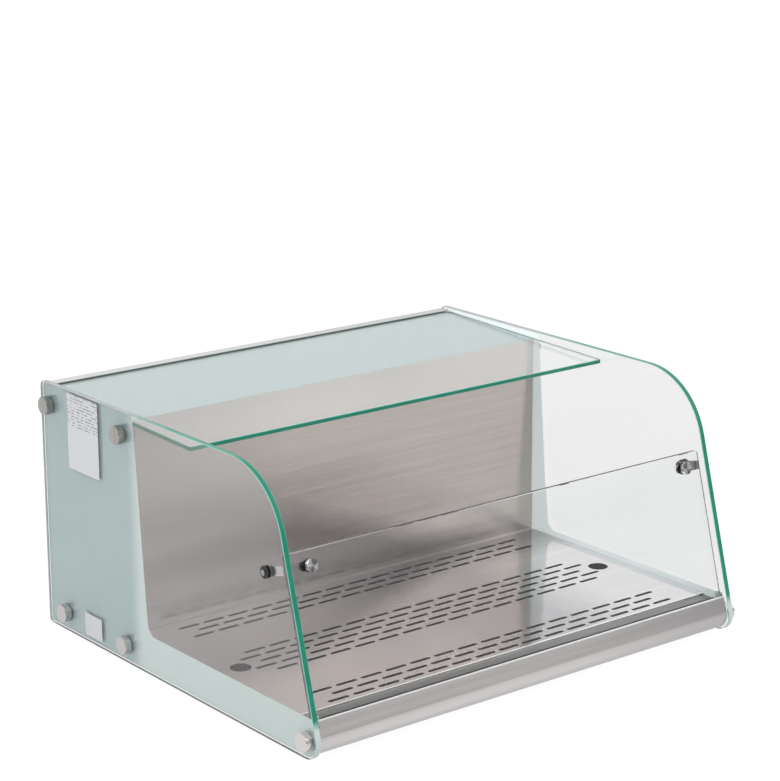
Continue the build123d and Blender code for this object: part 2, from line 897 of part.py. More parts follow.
def front_button(side):
    """A turned chrome button on the front pane, with its stud and nut."""
    away = tuple(-part for part in front_normal)
    x = side * button_x
    disc = rod(bolt_point(x, -bracket_washer), away, button_radius, button_height)
    disc = chamfer(disc.edges().filter_by(GeomType.CIRCLE).sort_by(Axis.Y)[0], head_chamfer)
    run = bracket_washer + plate_inward + bracket_sheet + nut_height
    shank = rod(bolt_point(x, -bracket_washer), front_normal, bracket_bolt_radius, run)
    nut = rod(bolt_point(x, plate_inward + bracket_sheet), front_normal, nut_radius, nut_height)
    return disc + shank + nut


# Round bolts of the side panes
def side_bolts():
    solids = []
    for side in (-1, 1):
        for depth, height in side_bolt_places:
            seat = place(side * (case_width / 2 + bolt_seal), depth, height)
            cap = rod(seat, (side, 0, 0), cap_radius, cap_height)
            rim = cap.edges().filter_by(GeomType.CIRCLE).group_by(Axis.X)[-1 if side > 0 else 0]
            cap = chamfer(rim, cap_chamfer)
            run = bolt_seal + side_glass + side_gap + bolt_reach
            solids.append(cap + rod(seat, (-side, 0, 0), bolt_radius, run))
    return solids


def bolt_rings(start, direction, outer, thickness):
    solids = []
    for side in (-1, 1):
        for depth, height in side_bolt_places:
            solids.append(ring(place(side * start, depth, height), (side * direction, 0, 0),
                               outer, bolt_radius + fit_gap, thickness))
    return solids


def bolt_nuts():
    """Nuts on the inner ends of the round bolts, against the housing."""
    solids = []
    seat = housing_half - sheet - seat_gap
    for side in (-1, 1):
        for depth, height in side_bolt_places:
            solids.append(ring(place(side * seat, depth, height), (-side, 0, 0),
                               bolt_nut_radius, bolt_radius + fit_gap, bolt_nut))
    return solids


# Finned coils
def serpentine(passes, pitch, half_length, tails):
    """A flat run of parallel passes joined by half rings, along local X."""
    bend = pitch / 2
    parts = []
    for k in range(passes):
        y = k * pitch
        parts.append(Line((-half_length, y), (half_length, y)))
    for k in range(passes - 1):
        y = k * pitch
        end = half_length if k % 2 == 0 else -half_length
        out = end + (bend if k % 2 == 0 else -bend)
        parts.append(ThreePointArc((end, y), (out, y + bend), (end, y + pitch)))
    last = half_length if passes % 2 == 1 else -half_length
    parts.append(Line((-half_length - tails, 0), (-half_length, 0)))
    sign = 1 if last > 0 else -1
    parts.append(Line((last, (passes - 1) * pitch), (last + sign * tails, (passes - 1) * pitch)))
    return parts


def coil(frame_plane, passes, pitch, half_length, tails):
    solids = None
    for part in serpentine(passes, pitch, half_length, tails):
        edge = frame_plane * part
        piece = sweep(Plane(origin=edge @ 0, z_dir=edge % 0) * Circle(coil_tube), path=edge)
        solids = piece if solids is None else solids + piece
    return solids


def fins(frame_plane, passes, pitch, half_length, spacing, margin, thick_half):
    """Thin plates square to the passes, pierced by every one of them."""
    length = (passes - 1) * pitch + 2 * margin
    face = Pos((passes - 1) * pitch / 2, 0) * Rectangle(length, 2 * thick_half)
    face -= [Pos(k * pitch, 0) * Circle(coil_tube + fin_gap) for k in range(passes)]
    count = floor(2 * (half_length - margin) / spacing) + 1
    solids = []
    for k in range(count):
        x = (k - (count - 1) / 2) * spacing - fin_thickness / 2
        start = frame_plane.from_local_coords(Vector(x, 0, 0))
        plane = Plane(origin=start, x_dir=frame_plane.y_dir, z_dir=frame_plane.x_dir)
        solids.append(extrude(plane * face, fin_thickness))
    return solids


evaporator_plane = Plane(origin=place(0, evaporator_rear_depth, evaporator_height),
                         x_dir=(1, 0, 0), z_dir=(0, 0, -1))
condenser_plane = Plane(origin=place(condenser_offset, condenser_depth,
                                     condenser_foot + condenser_fin_margin),
                        x_dir=(1, 0, 0), z_dir=(0, -1, 0))


# Fans
def blades(count, hub, tip, height, pitch_angle):
    """Slanted blades round a hub, standing along local Z."""
    solids = Cylinder(hub, height)
    length = tip - hub + blade_root
    blade = Rot(pitch_angle, 0, 0) * Box(length, blade_thickness, blade_stretch * height)
    blade = blade & Box(4 * tip, 4 * tip, height)
    for k in range(count):
        solids += Rot(0, 0, 360 * k / count) * Pos(hub - blade_root + length / 2, 0, 0) * blade
    return solids & Cylinder(tip, height)


def air_fan_frame(side):
    size = air_fan_size
    low = well_floor + well_sheet
    plan = RectangleRounded(size, size, air_fan_corner) - Circle(air_fan_bore)
    reach = size / 2 - air_fan_screw_inset
    plan -= [Pos(sx * reach, sy * reach) * Circle(air_fan_screw_radius)
             for sx in (-1, 1) for sy in (-1, 1)]
    centre = place(side * air_fan_offset, air_fan_depth, low)
    frame = extrude(Pos(*centre) * plan, air_fan_thickness)
    bar = Rectangle(air_fan_bore + 2 * loose_fit, air_fan_spoke)
    spokes = Circle(air_fan_hub) + [Rot(0, 0, 45 + 90 * k) * Pos(air_fan_bore / 2 + loose_fit, 0)
                                    * bar for k in range(4)]
    spokes = spokes & Circle(air_fan_bore + loose_fit)
    frame += extrude(Pos(*centre) * spokes, air_fan_plate)
    return frame + rod(centre, (0, 0, 1), fan_pin_radius, air_fan_thickness - loose_fit)


def air_fan_wheel(side):
    low = well_floor + well_sheet + air_fan_plate + rotor_gap
    height = air_fan_thickness - air_fan_plate - 2 * rotor_gap
    centre = place(side * air_fan_offset, air_fan_depth, low + height / 2)
    wheel = blades(air_fan_blades, air_fan_hub, air_fan_rotor, height, air_fan_blade_angle)
    return Pos(*centre) * (wheel - Cylinder(fan_pin_radius + running_gap, 2 * height))


def condenser_shroud():
    """A sheet hood on the fins with a round mouth for the fan."""
    t = shroud_wall
    top = condenser_middle + condenser_half_height
    hood = block(condenser_start, condenser_end, shroud_rear, shroud_rear + shroud_depth,
                 condenser_foot, top)
    hood -= block(condenser_start + t, condenser_end - t, 0, fan_rear, condenser_foot + t, top - t)
    mouth = rod(place(condenser_offset, shroud_rear, condenser_middle), (0, -1, 0),
                condenser_fan_bore, 2 * shroud_depth)
    rim = ring(place(condenser_offset, fan_rear, condenser_middle), (0, -1, 0),
               condenser_fan_bore + t, condenser_fan_bore, mouth_rim)
    legs = block(condenser_start, condenser_start + shroud_leg, shroud_rear, shroud_rear + sheet,
                 floor_top, condenser_foot)
    legs += block(condenser_end - shroud_leg, condenser_end, shroud_rear, shroud_rear + sheet,
                  floor_top, condenser_foot)
    return hood - mouth + rim + legs


def condenser_fan():
    centre = place(condenser_offset, fan_rear + fan_end_gap, condenser_middle)
    wheel = blades(condenser_fan_blades, condenser_fan_hub, condenser_fan_radius,
                   condenser_fan_height, condenser_fan_blade_angle)
    turned = Plane(origin=centre, x_dir=(1, 0, 0), z_dir=(0, -1, 0))
    bore = Cylinder(motor_shaft_radius + running_gap, 2 * condenser_fan_height)
    return turned * (wheel - bore)


def condenser_motor():
    """The fan's motor, its shaft and the four arms that carry it."""
    half_fan = condenser_fan_height / 2
    start = fan_rear + fan_end_gap + half_fan + fan_end_gap
    body = rod(place(condenser_offset, start, condenser_middle), (0, -1, 0),
               condenser_motor_radius, condenser_motor_length)
    body = fillet(body.edges().filter_by(GeomType.CIRCLE), condenser_motor_rounding)
    shaft_end = fan_rear - half_fan
    body += rod(place(condenser_offset, shaft_end, condenser_middle), (0, -1, 0),
                motor_shaft_radius, start - shaft_end + condenser_motor_rounding)
    for angle in (45, 135, 225, 315):
        body += motor_arm(radians(angle), start + motor_arm_setback)
    return body


def motor_arm(turn, depth):
    """An arm straight out from the motor, and its leg back to the hood."""
    dx = cos(turn)
    dz = sin(turn)
    inner = condenser_motor_radius - motor_arm_radius + 1
    outer = condenser_fan_bore + motor_arm_room
    arm = rod(place(condenser_offset + dx * inner, depth, condenser_middle + dz * inner),
              (dx, 0, dz), motor_arm_radius, outer - inner)
    foot = fan_rear + shroud_wall
    return arm + rod(place(condenser_offset + dx * outer, foot, condenser_middle + dz * outer),
                     (0, -1, 0), motor_arm_radius, depth - foot + motor_arm_radius)


# Compressor
def compressor():
    """A sealed shell with a weld seam, on a foot plate."""
    base = place(compressor_offset, compressor_depth, compressor_floor)
    w = compressor_plate_width / 2
    d = compressor_plate_depth / 2
    plate = block(compressor_offset - w, compressor_offset + w, compressor_depth - d,
                  compressor_depth + d, compressor_floor, compressor_floor + compressor_plate)
    plate = fillet(plate.edges().filter_by(Axis.Z), compressor_plate_corner)
    for x, depth in grommet_places():
        plate -= rod(place(x, depth, compressor_floor - compressor_plate), (0, 0, 1),
                     grommet_neck + seat_gap, 3 * compressor_plate)
    shell = rod(base, (0, 0, 1), compressor_radius, compressor_height)
    shell = fillet(shell.edges().sort_by(Axis.Z)[-1], compressor_radius * 0.55)
    shell = fillet(shell.edges().sort_by(Axis.Z)[0], compressor_radius * 0.2)
    middle = compressor_floor + compressor_height / 2
    shell += rod(place(compressor_offset, compressor_depth, middle), (0, 0, 1),
                 compressor_radius + seam_rise, seam_height)
    for angle, radius, height in stub_places():
        shell += stub(angle, radius, height)
    return plate + shell


def stub_places():
    """Angle, pipe radius and height of the discharge and suction stubs."""
    return [(-20, line_radius, 0.3 * compressor_height),
            (200, suction_radius, 0.25 * compressor_height)]


def stub_end(angle, out):
    a = radians(angle)
    return (compressor_offset + (compressor_radius + out) * cos(a),
            compressor_depth + (compressor_radius + out) * sin(a))


def stub(angle, radius, height):
    x, depth = stub_end(angle, -stub_root)
    a = radians(angle)
    return rod(place(x, depth, compressor_floor + height), (cos(a), -sin(a), 0),
               radius + stub_wall, stub_root + stub_reach)


def grommet_places():
    w = compressor_plate_width / 2 - grommet_inset
    d = compressor_plate_depth / 2 - grommet_inset
    return [(compressor_offset + sx * w, compressor_depth + sy * d)
            for sx in (-1, 1) for sy in (-1, 1)]


def grommets():
    solids = []
    for x, depth in grommet_places():
        body = rod(place(x, depth, floor_top), (0, 0, 1), grommet_radius, grommet_height)
        body += rod(place(x, depth, floor_top), (0, 0, 1), grommet_neck,
                    grommet_height + compressor_plate + loose_fit)
        solids.append(body)
    return solids


def start_relay():
    """The plastic terminal cover on the side of the shell."""
    near = compressor_depth + compressor_radius * 0.8
    low = compressor_floor + relay_height
    cover = block(compressor_offset - relay_half_width, compressor_offset + relay_half_width,
                  near, compressor_depth + compressor_radius + relay_reach, low, low + relay_tall)
    return cover - rod(place(compressor_offset, compressor_depth, compressor_floor), (0, 0, 1),
                       compressor_radius + seat_gap, compressor_height)


# Filter drier
def drier():
    body = rod(place(drier_x, drier_depth, drier_foot), (0, 0, 1), drier_radius, drier_length)
    body = chamfer(body.edges().filter_by(GeomType.CIRCLE), drier_shoulder)
    for middle in (drier_foot, drier_foot + drier_length):
        body += rod(place(drier_x, drier_depth, middle - drier_collar), (0, 0, 1),
                    line_radius + drier_collar_wall, 2 * drier_collar)
    return body


# Controls on the rear panel
def control_box():
    """A plastic box on the inner side of the rear panel, open towards the panel."""
    w = control_box_half
    t = control_box_wall
    low = inlet_middle - control_box_foot
    high = control_height + controller_height / 2 + control_box_margin
    near = rear_setback + sheet + seat_gap
    far = near + control_box_depth
    box = block(control_offset - w, control_offset + w, near, far, low, high)
    box -= block(control_offset - w + t, control_offset + w - t, 0, far - t, low + t, high - t)
    hole = rod(place(control_offset - w - t, near + cable_hole_depth, low + 2 * cable_hole_radius),
               (1, 0, 0), cable_hole_radius, 3 * t)
    return box - hole


button_spots = [-1.5, -0.5, 0.5, 1.5]
button_names = ["button_set", "button_down", "button_up", "button_power"]


def controller():
    """Bezel and body of the electronic thermostat, seated in the panel."""
    w = controller_width / 2
    t = controller_height / 2
    rim = controller_flange
    front = rear_setback - controller_bezel
    body = block(control_offset - w, control_offset + w, front, rear_setback + controller_body,
                 control_height - t, control_height + t)
    flange = block(control_offset - w - rim, control_offset + w + rim, front, rear_setback,
                   control_height - t - rim, control_height + t + rim)
    body += chamfer(flange.edges().group_by(Axis.Y)[-1], 1.0)
    body -= block(control_offset - window_half, control_offset + window_half,
                  front - controller_bezel, front + window_sink,
                  control_height - window_low, control_height + window_high)
    for spot in button_spots:
        body -= button_block(spot, front - controller_bezel, rear_setback, button_gap)
    return body


def button_block(spot, depth0, depth1, gap):
    """The room of one button, or with no gap the button itself."""
    x = control_offset + spot * button_pitch
    z = control_height + button_line
    half = button_width / 2 + gap
    tall = button_tall / 2 + gap
    return block(x - half, x + half, depth0, depth1, z - tall, z + tall)


def display_lens():
    half = window_half - lens_gap
    front = rear_setback - controller_bezel
    return block(control_offset - half, control_offset + half, front + lens_sink,
                 front + window_sink, control_height - window_low + lens_gap,
                 control_height + window_high - lens_gap)


def press_button(spot):
    top = rear_setback - controller_bezel - button_rise + button_sink
    body = button_block(spot, top, rear_setback - button_travel - seat_gap, 0)
    return fillet(body.edges().group_by(Axis.Y)[-1], button_rounding)


def rocker_frame():
    w = rocker_width / 2
    t = rocker_height / 2
    front = rear_setback - rocker_rim
    body = block(control_offset - w, control_offset + w, front, rear_setback + rocker_body,
                 rocker_middle - t, rocker_middle + t)
    flange = block(control_offset - w - rocker_flange, control_offset + w + rocker_flange, front,
                   rear_setback, rocker_middle - t - rocker_flange,
                   rocker_middle + t + rocker_flange)
    body += chamfer(flange.edges().group_by(Axis.Y)[-1], 0.4 * rocker_rim)
    w -= rocker_rim
    t -= rocker_rim
    return body - block(control_offset - w, control_offset + w, front - rocker_rim,
                        rear_setback + rocker_cavity, rocker_middle - t, rocker_middle + t)


def rocker():
    """The tilting key, pressed down at one end, on its cross pin."""
    w = rocker_width / 2 - 2.0
    t = rocker_height / 2 - 2.2
    high = -3.2
    middle = -1.2
    pin_reach = 0.4
    depth = rear_setback + rocker_pivot - rocker_rim
    face = Polyline((-w, rocker_pivot), (-w, high), (0, middle), (w, high), (w, rocker_pivot),
                    close=True)
    key = extrude(make_face(face), t, both=True)
    stand = Plane(origin=place(control_offset, depth, rocker_middle), x_dir=(1, 0, 0),
                  z_dir=(0, 0, -1))
    key = stand * (Rot(0, 0, rocker_angle) * key)
    pin = rod(place(control_offset, depth, rocker_middle - t - pin_reach), (0, 0, 1), 1.0,
              2 * (t + pin_reach))
    return key + pin


def mains_inlet():
    """An appliance inlet with its flange, cavity and three blades."""
    w = inlet_width / 2
    t = inlet_height / 2
    front = rear_setback - inlet_rise
    body = block(control_offset - w, control_offset + w, front, rear_setback + inlet_body,
                 inlet_middle - t, inlet_middle + t)
    flange = block(control_offset - w - inlet_ear, control_offset + w + inlet_ear, front,
                   rear_setback, inlet_middle - t - inlet_rim, inlet_middle + t + inlet_rim)
    body += fillet(flange.edges().filter_by(Axis.Y), inlet_rim)
    w -= inlet_wall
    t -= inlet_wall
    cavity = block(control_offset - w, control_offset + w, front - inlet_rise,
                   front + inlet_cavity, inlet_middle - t, inlet_middle + t)
    body -= chamfer(cavity.edges().filter_by(Axis.Y).group_by(Axis.Z)[-1], inlet_slope)
    for dx, dz in blade_places:
        x = control_offset + dx
        z = inlet_middle + dz + 1
        body += block(x - blade_half_width, x + blade_half_width, rear_setback,
                      rear_setback + inlet_cavity, z - blade_half_height, z + blade_half_height)
    return body


# Rear rail
def rear_rail():
    low = top_height(rail_setback) - cover_drop + seat_gap
    half = housing_half
    bar = block(-half, half, rail_setback, rail_setback + rail_depth, low, rail_top)
    bar = fillet(bar.edges().filter_by(Axis.X).group_by(Axis.Z)[-1], rail_rounding)
    return bar - block(-2 * half, 2 * half, rail_setback + rail_wall,
                       rail_setback + rail_depth - rail_wall, low + rail_wall,
                       rail_top - rail_wall)


def rear_foam():
    """The slab of foam behind the brushed wall."""
    front = wall_depth - sheet - seat_gap
    half = housing_half - sheet - foam_gap
    rear = front - rear_foam_thickness
    under = cover_drop + sheet + foam_gap
    corners = [(rear, rear_foam_foot), (front, rear_foam_foot), (front, top_height(front) - under),
               (rear, top_height(rear) - under)]
    foam = across(side_face(corners), -half, half)
    for side in (-1, 1):
        for depth, height in side_bolt_places[1:2]:
            foam -= rod(place(side * (half + 2 * foam_gap), depth, height), (-side, 0, 0),
                        bolt_nut_radius + loose_fit, bolt_reach + bolt_pocket)
    return foam


# Refrigerant lines, each a run of straight lengths with rounded corners
def pipe(spots, radius):
    return tube([place(*spot) for spot in spots], line_bend, radius)


def stub_run(angle, radius_out, x):
    """The stub's end and the point where its direction reaches x."""
    x0, depth0 = stub_end(angle, radius_out)
    return (x0, depth0), (x, depth0 + (x - x0) * tan(radians(angle)))


def discharge_line():
    angle, _, rise = stub_places()[0]
    (x0, d0), (x1, d1) = stub_run(angle, stub_reach, drier_x - discharge_room)
    low = compressor_floor + rise
    high = condenser_row(condenser_passes - 1)
    return pipe([(x0, d0, low), (x1, d1, low), (x1, d1, high - discharge_fall),
                 (x1, condenser_depth, high - discharge_fall / 2), (x1, condenser_depth, high),
                 (condenser_tail_x, condenser_depth, high)], line_radius)


def suction_line():
    angle, _, rise = stub_places()[1]
    (x0, d0), (x1, d1) = stub_run(angle, stub_reach, suction_x - suction_step)
    high = compressor_floor + rise
    last = evaporator_rear_depth + (evaporator_passes - 1) * evaporator_pitch
    return pipe([(x0, d0, high), (x1, d1, high), (x1, line_rise_depth, high),
                 (suction_x, line_rise_depth, evaporator_height),
                 (suction_x, last, evaporator_height),
                 (evaporator_tail_x, last, evaporator_height)], suction_radius)


def liquid_lines():
    """Condenser to drier, and the long fine line from drier to evaporator."""
    low = condenser_row(0)
    drier_low = drier_foot - drier_collar - 20
    foot = drier_foot - drier_collar
    first = pipe([(condenser_tail_x, condenser_depth, low), (drier_x, condenser_depth, low),
                  (drier_x, condenser_depth, drier_low), (drier_x, drier_depth, drier_low),
                  (drier_x, drier_depth, foot)], line_radius)
    top = drier_foot + drier_length + drier_collar
    second = pipe([(drier_x, drier_depth, top), (drier_x, drier_depth, capillary_top),
                   (drier_x, line_rise_depth, capillary_top),
                   (capillary_x, line_rise_depth, capillary_top),
                   (capillary_x, line_rise_depth, evaporator_height),
                   (capillary_x, evaporator_rear_depth, evaporator_height),
                   (evaporator_tail_x, evaporator_rear_depth, evaporator_height)], line_radius)
    return [first, second]


def condenser_row(k):
    """Height of one pass of the condenser."""
    return condenser_foot + condenser_fin_margin + k * condenser_pitch


nodes = {}


def keep(name, shape):
    nodes[name] = shape


def both(make):
    return [make(side) for side in (-1, 1)]


def frost_bands():
    top = top_sheet(top_rear_depth, wall_depth, top_glass + film_gap, film,
                    pane_inner - loose_fit)
    return both(frost_band) + [top]


def bonding_tape():
    drop = top_glass + film_back
    half = housing_half - tape_end_room
    rear = top_rear_depth + tape_rear_room
    front = wall_depth - tape_front_room
    return [top_sheet(rear, rear + tape_width, drop, tape, half),
            top_sheet(front - tape_width, front, drop, tape, half)]


def bolt_rubbers():
    """A seal under every cap and a spacer behind every side pane."""
    seals = bolt_rings(case_width / 2, 1, cap_radius - seal_inset, bolt_seal)
    spacers = bolt_rings(pane_inner - film_back, -1, cap_radius - spacer_inset,
                         side_gap - film_back)
    return seals + spacers


for side, word in ((-1, "left"), (1, "right")):
    keep(f"{word}_side_glass", side_pane(side))
    keep(f"{word}_bracket", bracket(side))
    keep(f"{word}_air_fan_frame", air_fan_frame(side))
    keep(f"{word}_air_fan_wheel", air_fan_wheel(side))

keep("frost_bands", frost_bands())
keep("profile_ends", both(profile_end))
keep("housing_sides", both(housing_side))
keep("bracket_bolts", both(bracket_bolt))
keep("front_buttons", both(front_button))
keep("corner_shoes", both(corner_shoe))
keep("top_glass", top_pane())
keep("bonding_tape", bonding_tape())
keep("top_cover", top_sheet(rear_setback, wall_depth - sheet - seat_gap, cover_drop, sheet,
                            housing_half))
keep("front_glass", front_pane())
keep("glass_seat", glass_seat())
keep("side_bolts", side_bolts())
keep("bolt_nuts", bolt_nuts())
keep("bolt_rubbers", bolt_rubbers())
keep("bracket_washers", bracket_washers())
keep("base_pan", base_pan())
keep("floor_foam", floor_foam())
keep("cold_well", cold_well())
keep("drain_plug", drain_plug())
keep("feet", feet())
keep("deck", deck())
keep("front_profile", front_profile())
keep("back_wall", back_wall())
keep("rear_foam", rear_foam())
keep("rear_panel", rear_panel())
keep("rear_panel_screws", panel_screws())
keep("rear_rail", rear_rail())
keep("evaporator_coil", coil(evaporator_plane, evaporator_passes, evaporator_pitch,
                             evaporator_half_length, evaporator_tail))
keep("evaporator_fins", fins(evaporator_plane, evaporator_passes, evaporator_pitch,
                             evaporator_half_length, fin_spacing, fin_margin, evaporator_fin_half))
keep("condenser_coil", coil(condenser_plane, condenser_passes, condenser_pitch,
                            condenser_half_length, condenser_tail))
keep("condenser_fins", fins(condenser_plane, condenser_passes, condenser_pitch,
                            condenser_half_length, condenser_fin_spacing, condenser_fin_margin,
                            condenser_fin_half))
keep("condenser_shroud", condenser_shroud())
keep("condenser_fan", condenser_fan())
keep("condenser_motor", condenser_motor())
keep("compressor", compressor())
keep("compressor_grommets", grommets())
keep("start_relay", start_relay())
keep("filter_drier", drier())
keep("discharge_line", discharge_line())
keep("suction_line", suction_line())
keep("liquid_lines", liquid_lines())
keep("control_box", control_box())
keep("controller", controller())
keep("display_lens", display_lens())
for name, spot in zip(button_names, button_spots):
    keep(name, press_button(spot))
keep("rocker_frame", rocker_frame())
keep("rocker_key", rocker())
keep("mains_inlet", mains_inlet())

for name, shape in nodes.items():
    solids = shape if isinstance(shape, list) else [shape]
    flat = [solid for piece in solids for solid in piece.solids()]
    whole = flat[0] if len(flat) == 1 else Compound(children=flat)
    export_step(whole, f"parts/{name}.step")
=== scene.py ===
from math import cos, pi, radians, sin

import bmesh
import bpy
from mathutils import Matrix, Vector


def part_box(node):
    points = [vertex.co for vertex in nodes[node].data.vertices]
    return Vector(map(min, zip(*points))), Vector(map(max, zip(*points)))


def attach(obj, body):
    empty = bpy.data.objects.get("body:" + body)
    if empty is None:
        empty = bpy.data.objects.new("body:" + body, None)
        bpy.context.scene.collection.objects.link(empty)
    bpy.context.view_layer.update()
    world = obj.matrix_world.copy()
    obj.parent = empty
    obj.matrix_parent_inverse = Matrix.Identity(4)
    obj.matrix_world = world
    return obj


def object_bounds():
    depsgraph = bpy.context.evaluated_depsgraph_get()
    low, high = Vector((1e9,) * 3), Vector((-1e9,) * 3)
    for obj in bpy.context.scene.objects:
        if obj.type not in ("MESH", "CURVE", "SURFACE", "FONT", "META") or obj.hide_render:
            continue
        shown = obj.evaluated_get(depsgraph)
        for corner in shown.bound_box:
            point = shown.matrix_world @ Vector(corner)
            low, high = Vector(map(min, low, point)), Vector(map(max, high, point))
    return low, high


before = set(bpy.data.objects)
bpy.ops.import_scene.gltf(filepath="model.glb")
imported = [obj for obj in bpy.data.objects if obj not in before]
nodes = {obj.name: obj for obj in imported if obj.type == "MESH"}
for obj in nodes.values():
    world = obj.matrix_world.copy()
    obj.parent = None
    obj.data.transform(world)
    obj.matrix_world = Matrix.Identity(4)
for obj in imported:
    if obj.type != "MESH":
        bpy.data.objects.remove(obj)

cad_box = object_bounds()

# Camera: eye point in metres, direction in degrees, lens in millimetres
eye = Vector((-1.9227, -2.4434, 1.1901))
eye_turn = 38.24
eye_drop = 15.22
eye_roll = -0.13
lens_mm = 110.36
sensor_mm = 36.0
far_clip = 200.0

# Surroundings as the camera sees them straight and through glass, where 1 is white
white = 1.06
through_glass = 0.97
# Surroundings as metal mirrors them: the floor far ahead and near, the sky ahead and behind
floor_far = 0.40
floor_near = 0.85
sky_front = 0.46
sky_rear = 0.88
# Soft light from the sky, and the share of the floor's own shading that shows
sky_soft = 1.2
shadow_share = 0.10

# Places read from the frame
left_pane_low, left_pane_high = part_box("left_side_glass")
deck_low, deck_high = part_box("deck")
button_low, button_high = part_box("front_buttons")
wall_left, wall_front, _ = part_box("back_wall")[0]
profile_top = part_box("front_profile")[1].z
pane_out = left_pane_low.x
pane_rear = left_pane_high.y
pane_foot = left_pane_low.z
wall_foot = deck_high.z

# The print's low strip, and the directions square to the broad faces of the panes
strip_height = 0.053
top_slope = radians(1.461)
front_lean = radians(15.302)
strip_top = pane_foot + strip_height
upward = (0.0, 0.0, 1.0)
forward = (0.0, -1.0, 0.0)
square_to_side = (1.0, 0.0, 0.0)
square_to_top = (0.0, sin(top_slope), cos(top_slope))
square_to_front = (0.0, -cos(front_lean), sin(front_lean))

# The part of a noise's range that is spread over a whole drift of tone or roughness
noise_span = (0.2, 0.8)


# Node helpers
def feed(tree, socket, value):
    """Links a socket to the one that drives it, or sets its plain value."""
    if isinstance(value, bpy.types.NodeSocket):
        tree.links.new(value, socket)
    else:
        socket.default_value = value


def node(tree, kind, settings=None, **inputs):
    """Adds a shader node; inputs are values or the sockets that feed them."""
    made = tree.nodes.new(kind)
    for key, value in (settings or {}).items():
        setattr(made, key, value)
    for key, value in inputs.items():
        feed(tree, made.inputs[key.replace("_", " ")], value)
    return made


def maths(tree, operation, *values):
    made = node(tree, "ShaderNodeMath", {"operation": operation})
    for socket, value in zip(made.inputs, values):
        feed(tree, socket, value)
    return made.outputs[0]


def vector_maths(tree, operation, *values):
    made = node(tree, "ShaderNodeVectorMath", {"operation": operation})
    for socket, value in zip(made.inputs, values):
        feed(tree, socket, value)
    return made.outputs


def spread(tree, value, low, high, to_low=0.0, to_high=1.0):
    """Carries a value from one range to another, held at both ends."""
    made = node(tree, "ShaderNodeMapRange", {"clamp": True}, Value=value, From_Min=low,
                From_Max=high, To_Min=to_low, To_Max=to_high)
    return made.outputs["Result"]


def falling(tree, value, low, high):
    """One up to the low mark, nought from the high one."""
    return spread(tree, value, low, high, 1.0, 0.0)


def blend_colour(tree, factor, first, second):
    made = node(tree, "ShaderNodeMix", {"data_type": "RGBA"})
    feed(tree, made.inputs[0], factor)
    feed(tree, made.inputs[6], first)
    feed(tree, made.inputs[7], second)
    return made.outputs[2]


def rgb(red, green, blue):
    return (red, green, blue, 1.0)


def noise(tree, place, scale, detail, roughness=0.5):
    return node(tree, "ShaderNodeTexNoise", Vector=place, Scale=scale, Detail=detail,
                Roughness=roughness).outputs["Fac"]


def own_place(tree):
    """A point's place on its own piece, which moves with the piece."""
    return node(tree, "ShaderNodeTexCoord").outputs["Object"]


def place_parts(tree):
    """A point's place in the case, as X, Y and Z."""
    place = node(tree, "ShaderNodeNewGeometry").outputs["Position"]
    return node(tree, "ShaderNodeSeparateXYZ", Vector=place).outputs


def new_group(name, inputs, outputs):
    """An empty shader group with its sockets: inputs are name, type and default."""
    tree = bpy.data.node_groups.new(name, "ShaderNodeTree")
    for label, kind, default in inputs:
        socket = tree.interface.new_socket(label, in_out="INPUT", socket_type="NodeSocket" + kind)
        socket.default_value = default
    for label, kind in outputs:
        tree.interface.new_socket(label, in_out="OUTPUT", socket_type="NodeSocket" + kind)
    return tree, tree.nodes.new("NodeGroupInput").outputs, tree.nodes.new("NodeGroupOutput").inputs


def use_group(tree, group, **inputs):
    """Places a shared effect with its own values."""
    return node(tree, "ShaderNodeGroup", {"node_tree": group}, **inputs).outputs


def new_material(name):
    """A material with its node tree and its shader."""
    made = bpy.data.materials.new(name)
    made.use_nodes = True
    tree = made.node_tree
    return made, tree, tree.nodes["Principled BSDF"]


def bump(tree, height, strength, depth):
    """Normals of a height from nought to one, which stands for a depth in metres."""
    return node(tree, "ShaderNodeBump", Strength=strength, Distance=depth,
                Height=height).outputs["Normal"]


# Shared effects
def make_brushed_grain():
    """Fine scratches drawn out along an axis, with cloudy tone and roughness."""
    fine_share, broad_share = 0.55, 0.45
    broad_scale = (0.12, 0.12, 0.12)
    cloud_scale = 5.0
    tone_span = (0.3, 0.7)
    streak_roughness = 0.04
    tree, given, out = new_group(
        "Brushed grain",
        [("Light", "Color", rgb(0.6, 0.6, 0.6)), ("Dark", "Color", rgb(0.5, 0.5, 0.5)),
         ("Stretch", "Vector", (14.0, 900.0, 900.0)), ("Base Roughness", "Float", 0.3),
         ("Cloud", "Float", 0.08)],
        [("Color", "Color"), ("Roughness", "Float"), ("Height", "Float")])
    place = own_place(tree)
    drawn = vector_maths(tree, "MULTIPLY", place, given["Stretch"])[0]
    drawn_out = vector_maths(tree, "MULTIPLY", drawn, broad_scale)[0]
    fine = noise(tree, drawn, scale=1.0, detail=3.0, roughness=0.6)
    broad = noise(tree, drawn_out, scale=1.0, detail=2.0)
    cloud = noise(tree, place, cloud_scale, detail=3.0)
    streak = maths(tree, "ADD", maths(tree, "MULTIPLY", fine, fine_share),
                   maths(tree, "MULTIPLY", broad, broad_share))
    tone = spread(tree, streak, *tone_span)
    cloudy = maths(tree, "MULTIPLY", maths(tree, "SUBTRACT", cloud, 0.5), given["Cloud"])
    streaky = spread(tree, streak, *noise_span, -streak_roughness, streak_roughness)
    feed(tree, out["Color"], blend_colour(tree, tone, given["Dark"], given["Light"]))
    feed(tree, out["Roughness"],
         maths(tree, "ADD", given["Base Roughness"], maths(tree, "ADD", cloudy, streaky)))
    feed(tree, out["Height"], fine)
    return tree


